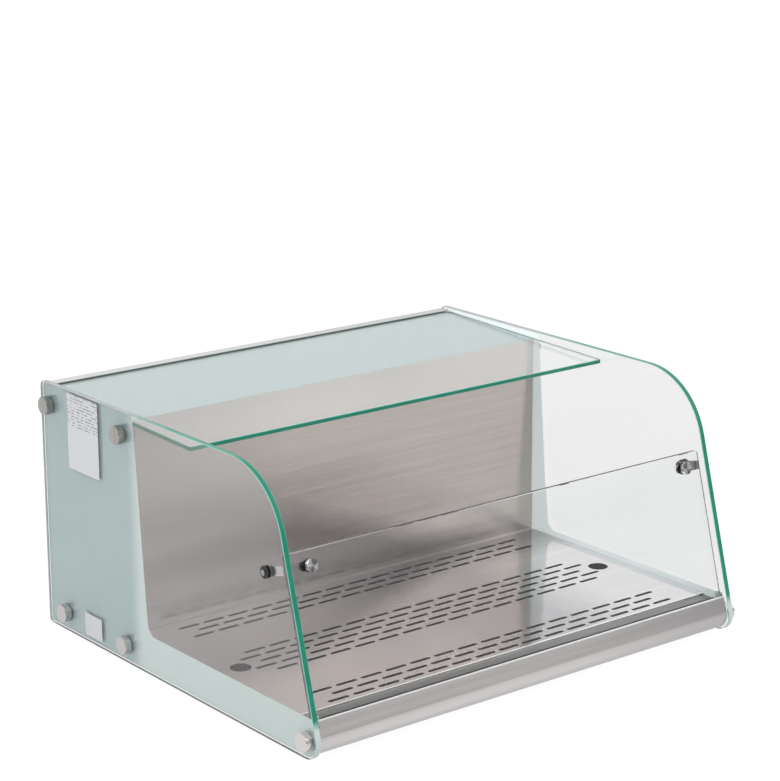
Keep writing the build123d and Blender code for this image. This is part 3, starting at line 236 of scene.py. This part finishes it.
def make_facing():
    """Nought to one as a face turns to a direction, or to it or its opposite."""
    tree, given, out = new_group(
        "Facing",
        [("Direction", "Vector", upward), ("Low", "Float", 0.3), ("High", "Float", 0.5)],
        [("Toward", "Float"), ("Either Way", "Float")])
    normal = node(tree, "ShaderNodeNewGeometry").outputs["Normal"]
    share = vector_maths(tree, "DOT_PRODUCT", normal, given["Direction"])["Value"]
    feed(tree, out["Toward"], spread(tree, share, given["Low"], given["High"]))
    feed(tree, out["Either Way"],
         spread(tree, maths(tree, "ABSOLUTE", share), given["Low"], given["High"]))
    return tree


def make_tone_drift():
    """A colour and a roughness that drift together in soft patches."""
    tree, given, out = new_group(
        "Tone drift",
        [("Color", "Color", rgb(0.5, 0.5, 0.5)), ("Patch Scale", "Float", 10.0),
         ("Darkest", "Float", 0.95), ("Lightest", "Float", 1.05),
         ("Smoothest", "Float", 0.4), ("Roughest", "Float", 0.5)],
        [("Color", "Color"), ("Roughness", "Float")])
    patch = noise(tree, own_place(tree), given["Patch Scale"], detail=3.0)
    value = spread(tree, patch, *noise_span, given["Darkest"], given["Lightest"])
    drifted = node(tree, "ShaderNodeHueSaturation", Value=value, Color=given["Color"])
    feed(tree, out["Color"], drifted.outputs["Color"])
    feed(tree, out["Roughness"],
         spread(tree, patch, *noise_span, given["Smoothest"], given["Roughest"]))
    return tree


def make_fine_skin():
    """A fine cast or moulded skin with a slow drift of tone."""
    drift_scale = 18.0
    tree, given, out = new_group(
        "Fine skin",
        [("Color", "Color", rgb(0.1, 0.1, 0.1)), ("Drift", "Float", 0.15),
         ("Grain Scale", "Float", 900.0), ("Base Roughness", "Float", 0.5)],
        [("Color", "Color"), ("Roughness", "Float"), ("Height", "Float")])
    place = own_place(tree)
    slow = noise(tree, place, drift_scale, detail=4.0)
    grain = noise(tree, place, given["Grain Scale"], detail=2.0)
    shift = maths(tree, "MULTIPLY", maths(tree, "SUBTRACT", slow, 0.5), given["Drift"])
    tinted = node(tree, "ShaderNodeHueSaturation", Value=maths(tree, "ADD", shift, 1.0),
                  Color=given["Color"])
    feed(tree, out["Color"], tinted.outputs["Color"])
    feed(tree, out["Roughness"], maths(tree, "ADD", given["Base Roughness"], shift))
    feed(tree, out["Height"], grain)
    return tree


def make_rubbed_edges():
    """Brightens the outer edges of a piece a little, where hands and cloths rub it."""
    patch_scale = 60.0
    sharpness = (0.52, 0.62)
    tree, given, out = new_group(
        "Rubbed edges",
        [("Color", "Color", rgb(0.1, 0.1, 0.1)), ("Rubbed", "Color", rgb(0.4, 0.4, 0.4)),
         ("Amount", "Float", 0.4)],
        [("Color", "Color")])
    sharp = node(tree, "ShaderNodeNewGeometry").outputs["Pointiness"]
    worn = spread(tree, sharp, *sharpness)
    patch = noise(tree, own_place(tree), patch_scale, detail=3.0)
    factor = maths(tree, "MULTIPLY", maths(tree, "MULTIPLY", worn, patch), given["Amount"])
    feed(tree, out["Color"], blend_colour(tree, factor, given["Color"], given["Rubbed"]))
    return tree


brushed_grain = make_brushed_grain()
facing = make_facing()
tone_drift = make_tone_drift()
fine_skin = make_fine_skin()
rubbed_edges = make_rubbed_edges()


def facing_up(tree, low, high):
    """Nought to one as a face turns from upright to lying flat and open to the sky."""
    return use_group(tree, facing, Direction=upward, Low=low, High=high)["Toward"]


# Painted light and shade, with some oxide, at named places on the steel, along X and Y in metres
# from the middle of the case
def deck_oxide_and_painted_light(tree, colour):
    """Cut walls of slots and holes dark with oxide and painted shade, painted highlights on the
    folds at both ends, painted shade on the middle and rear.
    """
    # Painted shade on the middle and rear, oxide and painted shade in the cuts, painted highlights
    # on the folds
    painted_shade_middle = rgb(0.57, 0.54, 0.565)
    painted_shade_rear = rgb(0.40, 0.38, 0.395)
    oxide_and_shade_cut_wall = rgb(0.012, 0.011, 0.011)
    painted_highlight_fold = rgb(0.96, 0.96, 0.955)
    middle_rise, middle_fall = (-0.22, 0.02), (0.13, 0.24)
    rear_rise = (-0.15, 0.1)
    rear_depth, rear_full = 0.10, 0.02
    fold, soft = 0.0025, 0.0005
    place = place_parts(tree)
    middle = maths(tree, "MULTIPLY", spread(tree, place["X"], *middle_rise),
                   falling(tree, place["X"], *middle_fall))
    rear = maths(tree, "MULTIPLY",
                 spread(tree, place["Y"], deck_high.y - rear_depth, deck_high.y - rear_full),
                 spread(tree, place["X"], *rear_rise))
    front_fold_highlight = falling(tree, place["Y"], deck_low.y + fold, deck_low.y + fold + soft)
    rear_fold_highlight = spread(tree, place["Y"], deck_high.y - fold - soft, deck_high.y - fold)
    colour = blend_colour(tree, middle, colour, painted_shade_middle)
    colour = blend_colour(tree, rear, colour, painted_shade_rear)
    colour = blend_colour(tree, facing_up(tree, 0.3, 0.5), oxide_and_shade_cut_wall, colour)
    return blend_colour(tree, maths(tree, "MAXIMUM", front_fold_highlight, rear_fold_highlight), colour, painted_highlight_fold)


def profile_painted_light(tree, colour):
    """A lip made bright with a painted highlight, and a channel floor behind it, underside and
    right end made dull with painted shade.
    """
    # Painted shade on the right end, underside and channel floor, and a painted highlight on the
    # lip
    painted_shade_end = rgb(0.52, 0.50, 0.505)
    painted_shade_underside = rgb(0.50, 0.49, 0.49)
    painted_shade_channel_floor = rgb(0.24, 0.235, 0.235)
    painted_highlight_lip = rgb(0.97, 0.97, 0.97)
    end_rise, end_strength = (0.08, 0.34), 0.9
    channel_depth, lip_depth, soft = 0.005, 0.0022, 0.001
    place = place_parts(tree)
    end = spread(tree, place["X"], *end_rise, 0.0, end_strength)
    below_lip = falling(tree, place["Z"], profile_top - channel_depth,
                        profile_top - channel_depth + soft)
    floor = maths(tree, "MULTIPLY", below_lip, facing_up(tree, 0.9, 0.95))
    lip = spread(tree, place["Z"], profile_top - lip_depth, profile_top - lip_depth + soft)
    colour = blend_colour(tree, end, colour, painted_shade_end)
    colour = blend_colour(tree, facing_up(tree, -0.9, -0.25), painted_shade_underside, colour)
    colour = blend_colour(tree, floor, colour, painted_shade_channel_floor)
    return blend_colour(tree, lip, colour, painted_highlight_lip)


def wall_painted_shade(tree, colour):
    """Darker with painted shade below a soft line that falls to the right, and towards the left
    end.
    """
    # Painted shade, standing for darker surroundings mirrored in the wall
    painted_shade_left = rgb(0.36, 0.33, 0.315)
    painted_shade_right = rgb(0.235, 0.215, 0.205)
    line_end, line_slope, line_highest = 0.22, 0.36, 0.11
    line_softness = (-0.02, 0.025)
    left_reach, left_strength = 0.25, 0.75
    left_to_right = (-0.15, 0.12)
    place = place_parts(tree)
    slope = maths(tree, "MULTIPLY", maths(tree, "SUBTRACT", line_end, place["X"]), line_slope)
    line = maths(tree, "ADD", maths(tree, "MINIMUM", slope, line_highest), wall_foot)
    below = falling(tree, maths(tree, "SUBTRACT", place["Z"], line), *line_softness)
    left = spread(tree, place["X"], wall_left, wall_left + left_reach, left_strength, 0.0)
    dull = blend_colour(tree, spread(tree, place["X"], *left_to_right), painted_shade_left, painted_shade_right)
    return blend_colour(tree, maths(tree, "MAXIMUM", below, left), colour, dull)


def bracket_painted_shade(tree, colour):
    """Painted shade: the leg across the front pane is darker than the leg along the side pane."""
    # Painted shade on the leg that faces forward
    painted_shade_leg = rgb(0.20, 0.19, 0.185)
    ahead = use_group(tree, facing, Direction=forward, Low=0.5, High=0.7)["Toward"]
    return blend_colour(tree, ahead, colour, painted_shade_leg)


def cap_painted_highlights(tree, colour):
    """Painted highlights: brighter on the low bolts and brightest on the foremost."""
    # Painted highlights: the colour named rubbed is the low bolts' painted highlight
    rubbed = rgb(0.62, 0.60, 0.585)
    painted_brightest_cap = rgb(0.76, 0.735, 0.72)
    height_fall, depth_fall = (0.06, 0.2), (-0.28, -0.15)
    place = place_parts(tree)
    low = falling(tree, place["Z"], *height_fall)
    foremost = falling(tree, place["Y"], *depth_fall)
    return blend_colour(tree, low, colour, blend_colour(tree, foremost, rubbed, painted_brightest_cap))


def turned_painted_reflection(tree, colour):
    """Light and dark wedges of painted reflection round the middle of each button, as on a face cut
    on a lathe.
    """
    # Painted reflection: dark wedges where the turned face would mirror dark surroundings
    painted_reflection_dark_wedge = rgb(0.20, 0.195, 0.19)
    broad_wedges, wedge_start = 2.0, 0.6
    fine_wedges, fine_share = 7.0, 0.35
    darkest, lightest = -1.1, 1.1
    place = place_parts(tree)
    radius = (button_high.z - button_low.z) / 2
    button_x = (button_high.x - button_low.x) / 2 - radius
    button_z = (button_high.z + button_low.z) / 2
    across = maths(tree, "SUBTRACT", maths(tree, "ABSOLUTE", place["X"]), button_x)
    turn = maths(tree, "ARCTAN2", maths(tree, "SUBTRACT", place["Z"], button_z), across)
    broad = maths(tree, "SINE", maths(tree, "ADD", maths(tree, "MULTIPLY", turn, broad_wedges),
                                      wedge_start))
    fine = maths(tree, "SINE", maths(tree, "MULTIPLY", turn, fine_wedges))
    both = maths(tree, "ADD", broad, maths(tree, "MULTIPLY", fine, fine_share))
    return blend_colour(tree, spread(tree, both, darkest, lightest), painted_reflection_dark_wedge, colour)


# Finishes
def brushed_steel(name, light, dark, stretch, roughness, cloud=0.08, groove=0.25, tones=None):
    """Metal with a grain; tones changes its colour at named places."""
    groove_depth = 0.00006
    made, tree, shader = new_material(name)
    grain = use_group(tree, brushed_grain, Light=light, Dark=dark, Stretch=stretch,
                      Base_Roughness=roughness, Cloud=cloud)
    colour = tones(tree, grain["Color"]) if tones else grain["Color"]
    feed(tree, shader.inputs["Base Color"], colour)
    feed(tree, shader.inputs["Roughness"], grain["Roughness"])
    feed(tree, shader.inputs["Normal"], bump(tree, grain["Height"], groove, groove_depth))
    shader.inputs["Metallic"].default_value = 1.0
    return made


def moulded(name, colour, rubbed, roughness, wear=0.4, grain=900.0, relief=0.12):
    """Plastic, rubber, paint, foam or cast metal with a fine skin and rubbed edges."""
    relief_depth = 0.0001
    made, tree, shader = new_material(name)
    skin = use_group(tree, fine_skin, Color=colour, Grain_Scale=grain, Base_Roughness=roughness)
    worn = use_group(tree, rubbed_edges, Color=skin["Color"], Rubbed=rubbed, Amount=wear)
    feed(tree, shader.inputs["Base Color"], worn["Color"])
    feed(tree, shader.inputs["Roughness"], skin["Roughness"])
    feed(tree, shader.inputs["Normal"], bump(tree, skin["Height"], relief, relief_depth))
    return made


def pane_glass(name, square_to, face, edge):
    """Clear float glass, smeared a little, with a paler and duller ground edge."""
    glass_ior = 1.5
    edge_roughness = 0.3
    smear_scale, smear_span, smear_roughness = 9.0, (0.5, 0.8), 0.015
    made, tree, shader = new_material(name)
    broad = use_group(tree, facing, Direction=square_to, Low=0.3, High=0.55)["Either Way"]
    smear = noise(tree, own_place(tree), smear_scale, detail=4.0)
    feed(tree, shader.inputs["Base Color"], blend_colour(tree, broad, edge, face))
    feed(tree, shader.inputs["Roughness"],
         maths(tree, "ADD", spread(tree, broad, 0.0, 1.0, edge_roughness, 0.0),
               spread(tree, smear, *smear_span, 0.0, smear_roughness)))
    shader.inputs["IOR"].default_value = glass_ior
    shader.inputs["Transmission Weight"].default_value = 1.0
    return made


def print_film(name, backed, backlit_colour, lit_through):
    """Pale print with painted light: painted lighter and given a faint painted glow where nothing
    stands behind it and on its inner faces, as if daylight came through.
    """
    daylight_colour = rgb(0.80, 0.97, 0.95)
    daylight_strength = 0.20
    outer_share = 0.5
    before_wall, past_wall = 0.02, 0.004
    made, tree, shader = new_material(name)
    place = place_parts(tree)
    behind = spread(tree, place["Y"], wall_front - before_wall, wall_front + past_wall)
    inward = node(tree, "ShaderNodeCombineXYZ",
                  X=maths(tree, "MULTIPLY", maths(tree, "SIGN", place["X"]), -1.0))
    inner = use_group(tree, facing, Direction=inward.outputs[0], Low=0.5, High=0.7)["Toward"]
    # Painted light: the lighter colour where nothing stands behind the print, the backed colour
    # where the housing does
    outer_colour = blend_colour(tree, behind, backlit_colour, backed)
    daylight = maths(tree, "MAXIMUM", inner, spread(tree, behind, 0.0, 1.0, outer_share, 0.0))
    film = use_group(tree, tone_drift, Color=blend_colour(tree, inner, outer_colour, lit_through),
                     Patch_Scale=7.0, Darkest=0.98, Lightest=1.02, Smoothest=0.45, Roughest=0.6)
    feed(tree, shader.inputs["Base Color"], film["Color"])
    feed(tree, shader.inputs["Roughness"], film["Roughness"])
    # Painted glow: an emission standing for daylight coming through the print
    feed(tree, shader.inputs["Emission Color"],
         blend_colour(tree, daylight, rgb(0, 0, 0), daylight_colour))
    shader.inputs["Emission Strength"].default_value = daylight_strength
    return made


def clear_plastic(name, colour, transmission, smoothest):
    """Clear or dark plastic with fine scuffs."""
    plastic_ior = 1.49
    roughness_drift = 0.08
    made, tree, shader = new_material(name)
    skin = use_group(tree, tone_drift, Color=colour, Patch_Scale=300.0, Darkest=0.95,
                     Lightest=1.0, Smoothest=smoothest, Roughest=smoothest + roughness_drift)
    feed(tree, shader.inputs["Base Color"], skin["Color"])
    feed(tree, shader.inputs["Roughness"], skin["Roughness"])
    shader.inputs["IOR"].default_value = plastic_ior
    shader.inputs["Transmission Weight"].default_value = transmission
    return made


def dress(made, *members):
    """Gives a finish to the CAD pieces that wear it."""
    for member in members:
        nodes[member].data.materials.clear()
        nodes[member].data.materials.append(made)


# Panes, print and clear pieces
ground_glass = rgb(0.80, 0.93, 0.89)
dress(pane_glass("side_glass", square_to_side, rgb(0.93, 0.942, 0.936), ground_glass),
      "left_side_glass", "right_side_glass")
dress(pane_glass("top_pane", square_to_top, rgb(0.975, 0.99, 0.985), ground_glass),
      "top_glass")
dress(pane_glass("front_pane", square_to_front, rgb(0.98, 0.99, 0.99), rgb(0.75, 0.88, 0.84)),
      "front_glass")
dress(print_film("mint_print", backed=rgb(0.655, 0.835, 0.85), backlit_colour=rgb(0.89, 0.99, 0.985),
                 lit_through=rgb(0.94, 0.985, 0.985)),
      "frost_bands")
dress(clear_plastic("clear_shoe", rgb(0.9, 0.95, 0.94), transmission=0.9, smoothest=0.12),
      "corner_shoes")
dress(clear_plastic("dark_lens", rgb(0.05, 0.015, 0.015), transmission=0.0, smoothest=0.08),
      "display_lens")

# Brushed and turned metal
dress(brushed_steel("brushed_wall", light=rgb(0.575, 0.52, 0.49), dark=rgb(0.50, 0.45, 0.42),
                    stretch=(9.0, 700.0, 700.0), roughness=0.24, cloud=0.10, groove=0.15,
                    tones=wall_painted_shade),
      "back_wall")
dress(brushed_steel("brushed_deck", light=rgb(0.94, 0.91, 0.93), dark=rgb(0.84, 0.81, 0.83),
                    stretch=(11.0, 800.0, 800.0), roughness=0.10, cloud=0.06, groove=0.12,
                    tones=deck_oxide_and_painted_light),
      "deck")
dress(brushed_steel("brushed_profile", light=rgb(0.79, 0.76, 0.755), dark=rgb(0.64, 0.615, 0.61),
                    stretch=(8.0, 900.0, 900.0), roughness=0.32, cloud=0.06, groove=0.2,
                    tones=profile_painted_light),
      "front_profile", "profile_ends")
dress(brushed_steel("brushed_cap", light=rgb(0.43, 0.415, 0.40), dark=rgb(0.32, 0.305, 0.295),
                    stretch=(900.0, 900.0, 60.0), roughness=0.22, cloud=0.06,
                    tones=cap_painted_highlights),
      "side_bolts", "bracket_bolts")
dress(brushed_steel("bracket_steel", light=rgb(0.62, 0.60, 0.59), dark=rgb(0.52, 0.50, 0.49),
                    stretch=(60.0, 900.0, 900.0), roughness=0.22, cloud=0.06, groove=0.2,
                    tones=bracket_painted_shade),
      "left_bracket", "right_bracket")
dress(brushed_steel("turned_chrome", light=rgb(0.92, 0.91, 0.91), dark=rgb(0.82, 0.81, 0.81),
                    stretch=(600.0, 600.0, 60.0), roughness=0.10, cloud=0.03, groove=0.12,
                    tones=turned_painted_reflection),
      "front_buttons")
dress(brushed_steel("zinc_fixings", light=rgb(0.6, 0.6, 0.57), dark=rgb(0.48, 0.48, 0.46),
                    stretch=(200.0, 200.0, 200.0), roughness=0.32),
      "bolt_nuts", "rear_panel_screws")
dress(brushed_steel("rail_aluminium", light=rgb(0.68, 0.68, 0.685), dark=rgb(0.60, 0.60, 0.605),
                    stretch=(6.0, 900.0, 900.0), roughness=0.36),
      "rear_rail")
dress(brushed_steel("fin_aluminium", light=rgb(0.72, 0.73, 0.74), dark=rgb(0.6, 0.61, 0.62),
                    stretch=(300.0, 300.0, 300.0), roughness=0.4),
      "evaporator_fins", "condenser_fins")
dress(brushed_steel("copper_tube", light=rgb(0.66, 0.34, 0.2), dark=rgb(0.52, 0.26, 0.16),
                    stretch=(120.0, 120.0, 120.0), roughness=0.3),
      "evaporator_coil", "condenser_coil", "discharge_line", "suction_line", "liquid_lines",
      "filter_drier")
dress(brushed_steel("well_steel", light=rgb(0.16, 0.155, 0.155), dark=rgb(0.10, 0.10, 0.10),
                    stretch=(20.0, 300.0, 300.0), roughness=0.4),
      "cold_well")

# Rubber, plastic, paint and foam
dress(moulded("black_rubber", rgb(0.022, 0.022, 0.023), rgb(0.06, 0.06, 0.06), roughness=0.62),
      "bolt_rubbers", "bracket_washers", "feet", "compressor_grommets", "drain_plug")
dress(moulded("grey_seat_strip", rgb(0.16, 0.16, 0.165), rgb(0.26, 0.26, 0.26), roughness=0.6),
      "glass_seat")
dress(moulded("black_plastic", rgb(0.03, 0.03, 0.033), rgb(0.1, 0.1, 0.1), roughness=0.45),
      "left_air_fan_frame", "right_air_fan_frame", "left_air_fan_wheel", "right_air_fan_wheel",
      "condenser_fan", "controller", "rocker_frame", "mains_inlet", "start_relay")
dress(moulded("grey_keys", rgb(0.20, 0.205, 0.21), rgb(0.34, 0.34, 0.34), roughness=0.5),
      "button_set", "button_down", "button_up", "button_power", "rocker_key")
dress(moulded("grey_sheet", rgb(0.40, 0.415, 0.415), rgb(0.6, 0.6, 0.6), roughness=0.42,
              wear=0.5, grain=1500.0, relief=0.2),
      "housing_sides", "rear_panel", "base_pan", "condenser_shroud", "control_box")
dress(moulded("dark_cover", rgb(0.16, 0.165, 0.165), rgb(0.3, 0.3, 0.3), roughness=0.5),
      "top_cover")
dress(moulded("black_enamel", rgb(0.018, 0.018, 0.019), rgb(0.12, 0.12, 0.12), roughness=0.28),
      "compressor", "condenser_motor")
dress(moulded("pale_foam", rgb(0.78, 0.76, 0.70), rgb(0.8, 0.8, 0.76), roughness=0.85,
              wear=0.2, grain=400.0, relief=0.5),
      "floor_foam", "rear_foam")
dress(moulded("bonding_tape", rgb(0.12, 0.12, 0.12), rgb(0.2, 0.2, 0.2), roughness=0.7),
      "bonding_tape")


# Ground edges of the side panes and the top pane
def ground_edge(name, square_to, front_colour, rear_colour):
    """Green body of the glass in its polished edge, paler at the arrises and beside print."""
    arris_colour = rgb(0.27, 0.52, 0.44)
    upward_colour = rgb(0.30, 0.33, 0.33)
    before_wall, past_wall = 0.10, 0.005
    strip_softness = 0.012
    made, tree, shader = new_material(name)
    place = place_parts(tree)
    slanted = use_group(tree, facing, Direction=square_to, Low=0.3, High=0.5)["Either Way"]
    beside_wall = spread(tree, place["Y"], wall_front - before_wall, wall_front + past_wall)
    beside_strip = falling(tree, place["Z"], strip_top - strip_softness, strip_top)
    clear = blend_colour(tree, slanted, front_colour, arris_colour)
    printed = blend_colour(tree, facing_up(tree, 0.4, 0.8), rear_colour, upward_colour)
    body = blend_colour(tree, maths(tree, "MAXIMUM", beside_wall, beside_strip), clear, printed)
    flow = use_group(tree, tone_drift, Color=body, Patch_Scale=35.0, Darkest=0.85, Lightest=1.15,
                     Smoothest=0.12, Roughest=0.22)
    feed(tree, shader.inputs["Base Color"], flow["Color"])
    feed(tree, shader.inputs["Roughness"], flow["Roughness"])
    return made


def largest_island(shape):
    """The faces of the connected region with the greatest area."""
    left = set(shape.faces)
    best, best_area = [], 0.0
    while left:
        front = [left.pop()]
        island = []
        while front:
            face = front.pop()
            island.append(face)
            for edge in face.edges:
                for near in edge.link_faces:
                    if near in left:
                        left.remove(near)
                        front.append(near)
        area = sum(face.calc_area() for face in island)
        if area > best_area:
            best, best_area = island, area
    return best


def new_piece(name, shape, made):
    """An object from a finished shape and its material."""
    mesh = bpy.data.meshes.new(name)
    shape.to_mesh(mesh)
    shape.free()
    mesh.materials.append(made)
    piece = bpy.data.objects.new(name, mesh)
    bpy.context.scene.collection.objects.link(piece)
    return piece


def add_edge_skin(pane, square_to, made):
    """A thin skin over the narrow edge of a pane, following the pane's own outline."""
    lift, skin = 0.00002, 0.00004
    same_place = 0.000002
    broad_from = 0.95
    square = Vector(square_to)
    shape = bmesh.new()
    shape.from_mesh(nodes[pane].data)
    bmesh.ops.remove_doubles(shape, verts=shape.verts, dist=same_place)
    broad = [face for face in shape.faces if abs(face.normal.dot(square)) > broad_from]
    bmesh.ops.delete(shape, geom=broad, context="FACES")
    kept = set(largest_island(shape))
    bmesh.ops.delete(shape, geom=[face for face in shape.faces if face not in kept],
                     context="FACES")
    shape.normal_update()
    for vertex in shape.verts:
        outward = vertex.normal - square * vertex.normal.dot(square)
        vertex.co += outward.normalized() * lift
    ribbon = new_piece(pane + "_edge", shape, made)
    thick = ribbon.modifiers.new("skin", "SOLIDIFY")
    thick.thickness = skin
    thick.offset = 1.0
    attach(ribbon, "case")


teal = rgb(0.004, 0.20, 0.125)
pale = rgb(0.48, 0.57, 0.555)
side_rim = ground_edge("side_pane_rim", square_to_side, teal, pale)
top_rim = ground_edge("top_pane_rim", square_to_top, teal, teal)
add_edge_skin("left_side_glass", square_to_side, side_rim)
add_edge_skin("right_side_glass", square_to_side, side_rim)
add_edge_skin("top_glass", square_to_top, top_rim)


# Labels on the left pane, measured from its rear edge and its foot
rules_from = 0.300
label_thickness = 0.00012


def label_paper(name):
    """White stock with broken grey rules that spell nothing above a height, and bare below."""
    rule_pitch, rule_fade = 0.0042, 0.0005
    rule_span, gap_span = (0.3, 0.6), (0.46, 0.52)
    gap_stretch = (1.0, 190.0, 235.0)
    rule_colour, rule_strength = rgb(0.14, 0.145, 0.15), 0.8
    dark_stock, light_stock = rgb(0.54, 0.555, 0.56), rgb(0.58, 0.59, 0.60)
    fibre_scale, smoothest, roughest = 600.0, 0.4, 0.55
    made, tree, shader = new_material(name)
    height = place_parts(tree)["Z"]
    wave = maths(tree, "SINE", maths(tree, "MULTIPLY", height, 2 * pi / rule_pitch))
    rules = spread(tree, wave, *rule_span)
    ruled = spread(tree, height, pane_foot + rules_from, pane_foot + rules_from + rule_fade)
    drawn = vector_maths(tree, "MULTIPLY", own_place(tree), gap_stretch)[0]
    broken = spread(tree, noise(tree, drawn, scale=1.0, detail=1.0), *gap_span)
    mark = maths(tree, "MULTIPLY", maths(tree, "MULTIPLY", rules, ruled), broken)
    fibre = noise(tree, own_place(tree), fibre_scale, detail=3.0)
    stock = blend_colour(tree, fibre, dark_stock, light_stock)
    feed(tree, shader.inputs["Base Color"],
         blend_colour(tree, maths(tree, "MULTIPLY", mark, rule_strength), stock, rule_colour))
    feed(tree, shader.inputs["Roughness"],
         spread(tree, fibre, *noise_span, smoothest, roughest))
    return made


def rounded_plate(low, high, radius):
    """A thin plate on the outer face of the left pane, between two corners in Y and Z."""
    steps = 6
    shape = bmesh.new()
    ring = []
    corners = [(high[0] - radius, high[1] - radius, 0), (low[0] + radius, high[1] - radius, 90),
               (low[0] + radius, low[1] + radius, 180), (high[0] - radius, low[1] + radius, 270)]
    for y, z, start in corners:
        for k in range(steps + 1):
            turn = radians(start + 90 * k / steps)
            ring.append(shape.verts.new((pane_out, y + radius * cos(turn), z + radius * sin(turn))))
    face = shape.faces.new(ring)
    raised = bmesh.ops.extrude_face_region(shape, geom=[face])
    moved = [part for part in raised["geom"] if isinstance(part, bmesh.types.BMVert)]
    bmesh.ops.translate(shape, verts=moved, vec=(-label_thickness, 0.0, 0.0))
    bmesh.ops.recalc_face_normals(shape, faces=shape.faces)
    return shape


def add_label(name, stock, depths, heights, radius):
    """A label between two distances from the pane's rear edge and two above its foot."""
    near, far = depths
    low, high = heights
    shape = rounded_plate((pane_rear - far, pane_foot + low), (pane_rear - near, pane_foot + high),
                          radius)
    plate = new_piece(name, shape, stock)
    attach(plate, "case")


paper = label_paper("label_paper")
add_label("large_label", paper, depths=(0.069, 0.146), heights=(0.240, 0.345), radius=0.0015)
add_label("small_label", paper, depths=(0.096, 0.139), heights=(0.0095, 0.0415), radius=0.001)


# Floor, surroundings and light
def seen_light(tree, reflected):
    """Light seen straight, through glass and mirrored, with the shares of those rays."""
    path = node(tree, "ShaderNodeLightPath").outputs
    straight, through = path["Is Camera Ray"], path["Is Transmission Ray"]
    mirrored = maths(tree, "MAXIMUM", maths(tree, "SUBTRACT", path["Is Glossy Ray"], through), 0.0)
    seen = maths(tree, "ADD", maths(tree, "MULTIPLY", straight, white),
                 maths(tree, "MULTIPLY", through, through_glass))
    share = maths(tree, "ADD", maths(tree, "MAXIMUM", straight, through), mirrored)
    return maths(tree, "ADD", seen, maths(tree, "MULTIPLY", mirrored, reflected)), share


def add_floor():
    """A plain floor just under the feet that shows pale and keeps a faint shadow."""
    half_width = 40.0
    drop = 0.0002
    far_to_near, near_to_behind = (-1.3, -0.5), (-0.2, 0.5)
    made, tree, shader = new_material("studio_floor")
    shader.inputs["Base Color"].default_value = rgb(0.8, 0.8, 0.8)
    shader.inputs["Roughness"].default_value = 0.9
    place = place_parts(tree)
    ahead = spread(tree, place["Y"], *far_to_near, floor_far, floor_near)
    behind = spread(tree, place["Y"], *near_to_behind)
    strength, share = seen_light(tree, maths(tree, "MAXIMUM", ahead, behind))
    glow = node(tree, "ShaderNodeEmission", Color=rgb(1, 1, 1), Strength=strength)
    mixed = node(tree, "ShaderNodeMixShader",
                 Fac=maths(tree, "MULTIPLY", share, 1.0 - shadow_share))
    tree.links.new(shader.outputs[0], mixed.inputs[1])
    tree.links.new(glow.outputs[0], mixed.inputs[2])
    tree.links.new(mixed.outputs[0], tree.nodes["Material Output"].inputs["Surface"])
    shape = bmesh.new()
    bmesh.ops.create_grid(shape, x_segments=1, y_segments=1, size=half_width)
    floor = new_piece("studio_floor", shape, made)
    floor.location.z = cad_box[0][2] - drop


def set_world():
    """A sky that casts even soft light and is mirrored darker ahead of the case."""
    low_to_high, front_to_rear = (0.2, 0.7), (-0.4, 0.1)
    world = bpy.data.worlds.new("studio")
    bpy.context.scene.world = world
    world.use_nodes = True
    tree = world.node_tree
    back = tree.nodes["Background"]
    back.inputs["Color"].default_value = rgb(1, 1, 1)
    way = node(tree, "ShaderNodeSeparateXYZ",
               Vector=node(tree, "ShaderNodeTexCoord").outputs["Generated"]).outputs
    ahead = spread(tree, way["Z"], *low_to_high, sky_front, sky_rear)
    behind = spread(tree, way["Y"], *front_to_rear)
    reflected = maths(tree, "ADD", maths(tree, "MULTIPLY", behind, sky_rear),
                      maths(tree, "MULTIPLY", maths(tree, "SUBTRACT", 1.0, behind), ahead))
    strength, share = seen_light(tree, reflected)
    soft = maths(tree, "MULTIPLY", maths(tree, "SUBTRACT", 1.0, share), sky_soft)
    feed(tree, back.inputs["Strength"], maths(tree, "ADD", strength, soft))


def add_lamp(name, place, target, size, watts):
    """A soft rectangular lamp that points at its target."""
    lamp = bpy.data.lights.new(name, "AREA")
    lamp.shape = "RECTANGLE"
    lamp.size, lamp.size_y = size
    lamp.energy = watts
    holder = bpy.data.objects.new(name, lamp)
    holder.location = place
    holder.rotation_euler = (Vector(target) - Vector(place)).to_track_quat("-Z", "Y").to_euler()
    bpy.context.scene.collection.objects.link(holder)


def add_camera():
    """The photograph's camera, turned, tipped down and rolled a little."""
    lens = bpy.data.cameras.new("photo_camera")
    lens.sensor_fit = "HORIZONTAL"
    lens.sensor_width = sensor_mm
    lens.lens = lens_mm
    lens.clip_end = far_clip
    camera = bpy.data.objects.new("photo_camera", lens)
    turn, drop = radians(eye_turn), radians(eye_drop)
    ahead = Vector((sin(turn) * cos(drop), cos(turn) * cos(drop), -sin(drop)))
    right = Vector((cos(turn), -sin(turn), 0.0))
    pose = Matrix((right, right.cross(ahead), -ahead)).transposed().to_4x4()
    camera.matrix_world = (Matrix.Translation(eye) @ pose
                           @ Matrix.Rotation(radians(eye_roll), 4, "Z"))
    bpy.context.scene.collection.objects.link(camera)
    bpy.context.scene.camera = camera


add_floor()
set_world()
add_lamp("key", (-1.6, -1.2, 2.2), target=(0.0, 0.0, 0.1), size=(1.6, 1.6), watts=8.0)
add_lamp("fill", (1.8, -1.6, 1.6), target=(0.0, 0.0, 0.1), size=(1.4, 1.4), watts=3.0)
add_lamp("rear", (0.4, 1.8, 1.8), target=(0.0, 0.0, 0.2), size=(1.6, 1.2), watts=4.0)
add_camera()
bpy.context.scene.view_settings.view_transform = "Standard"
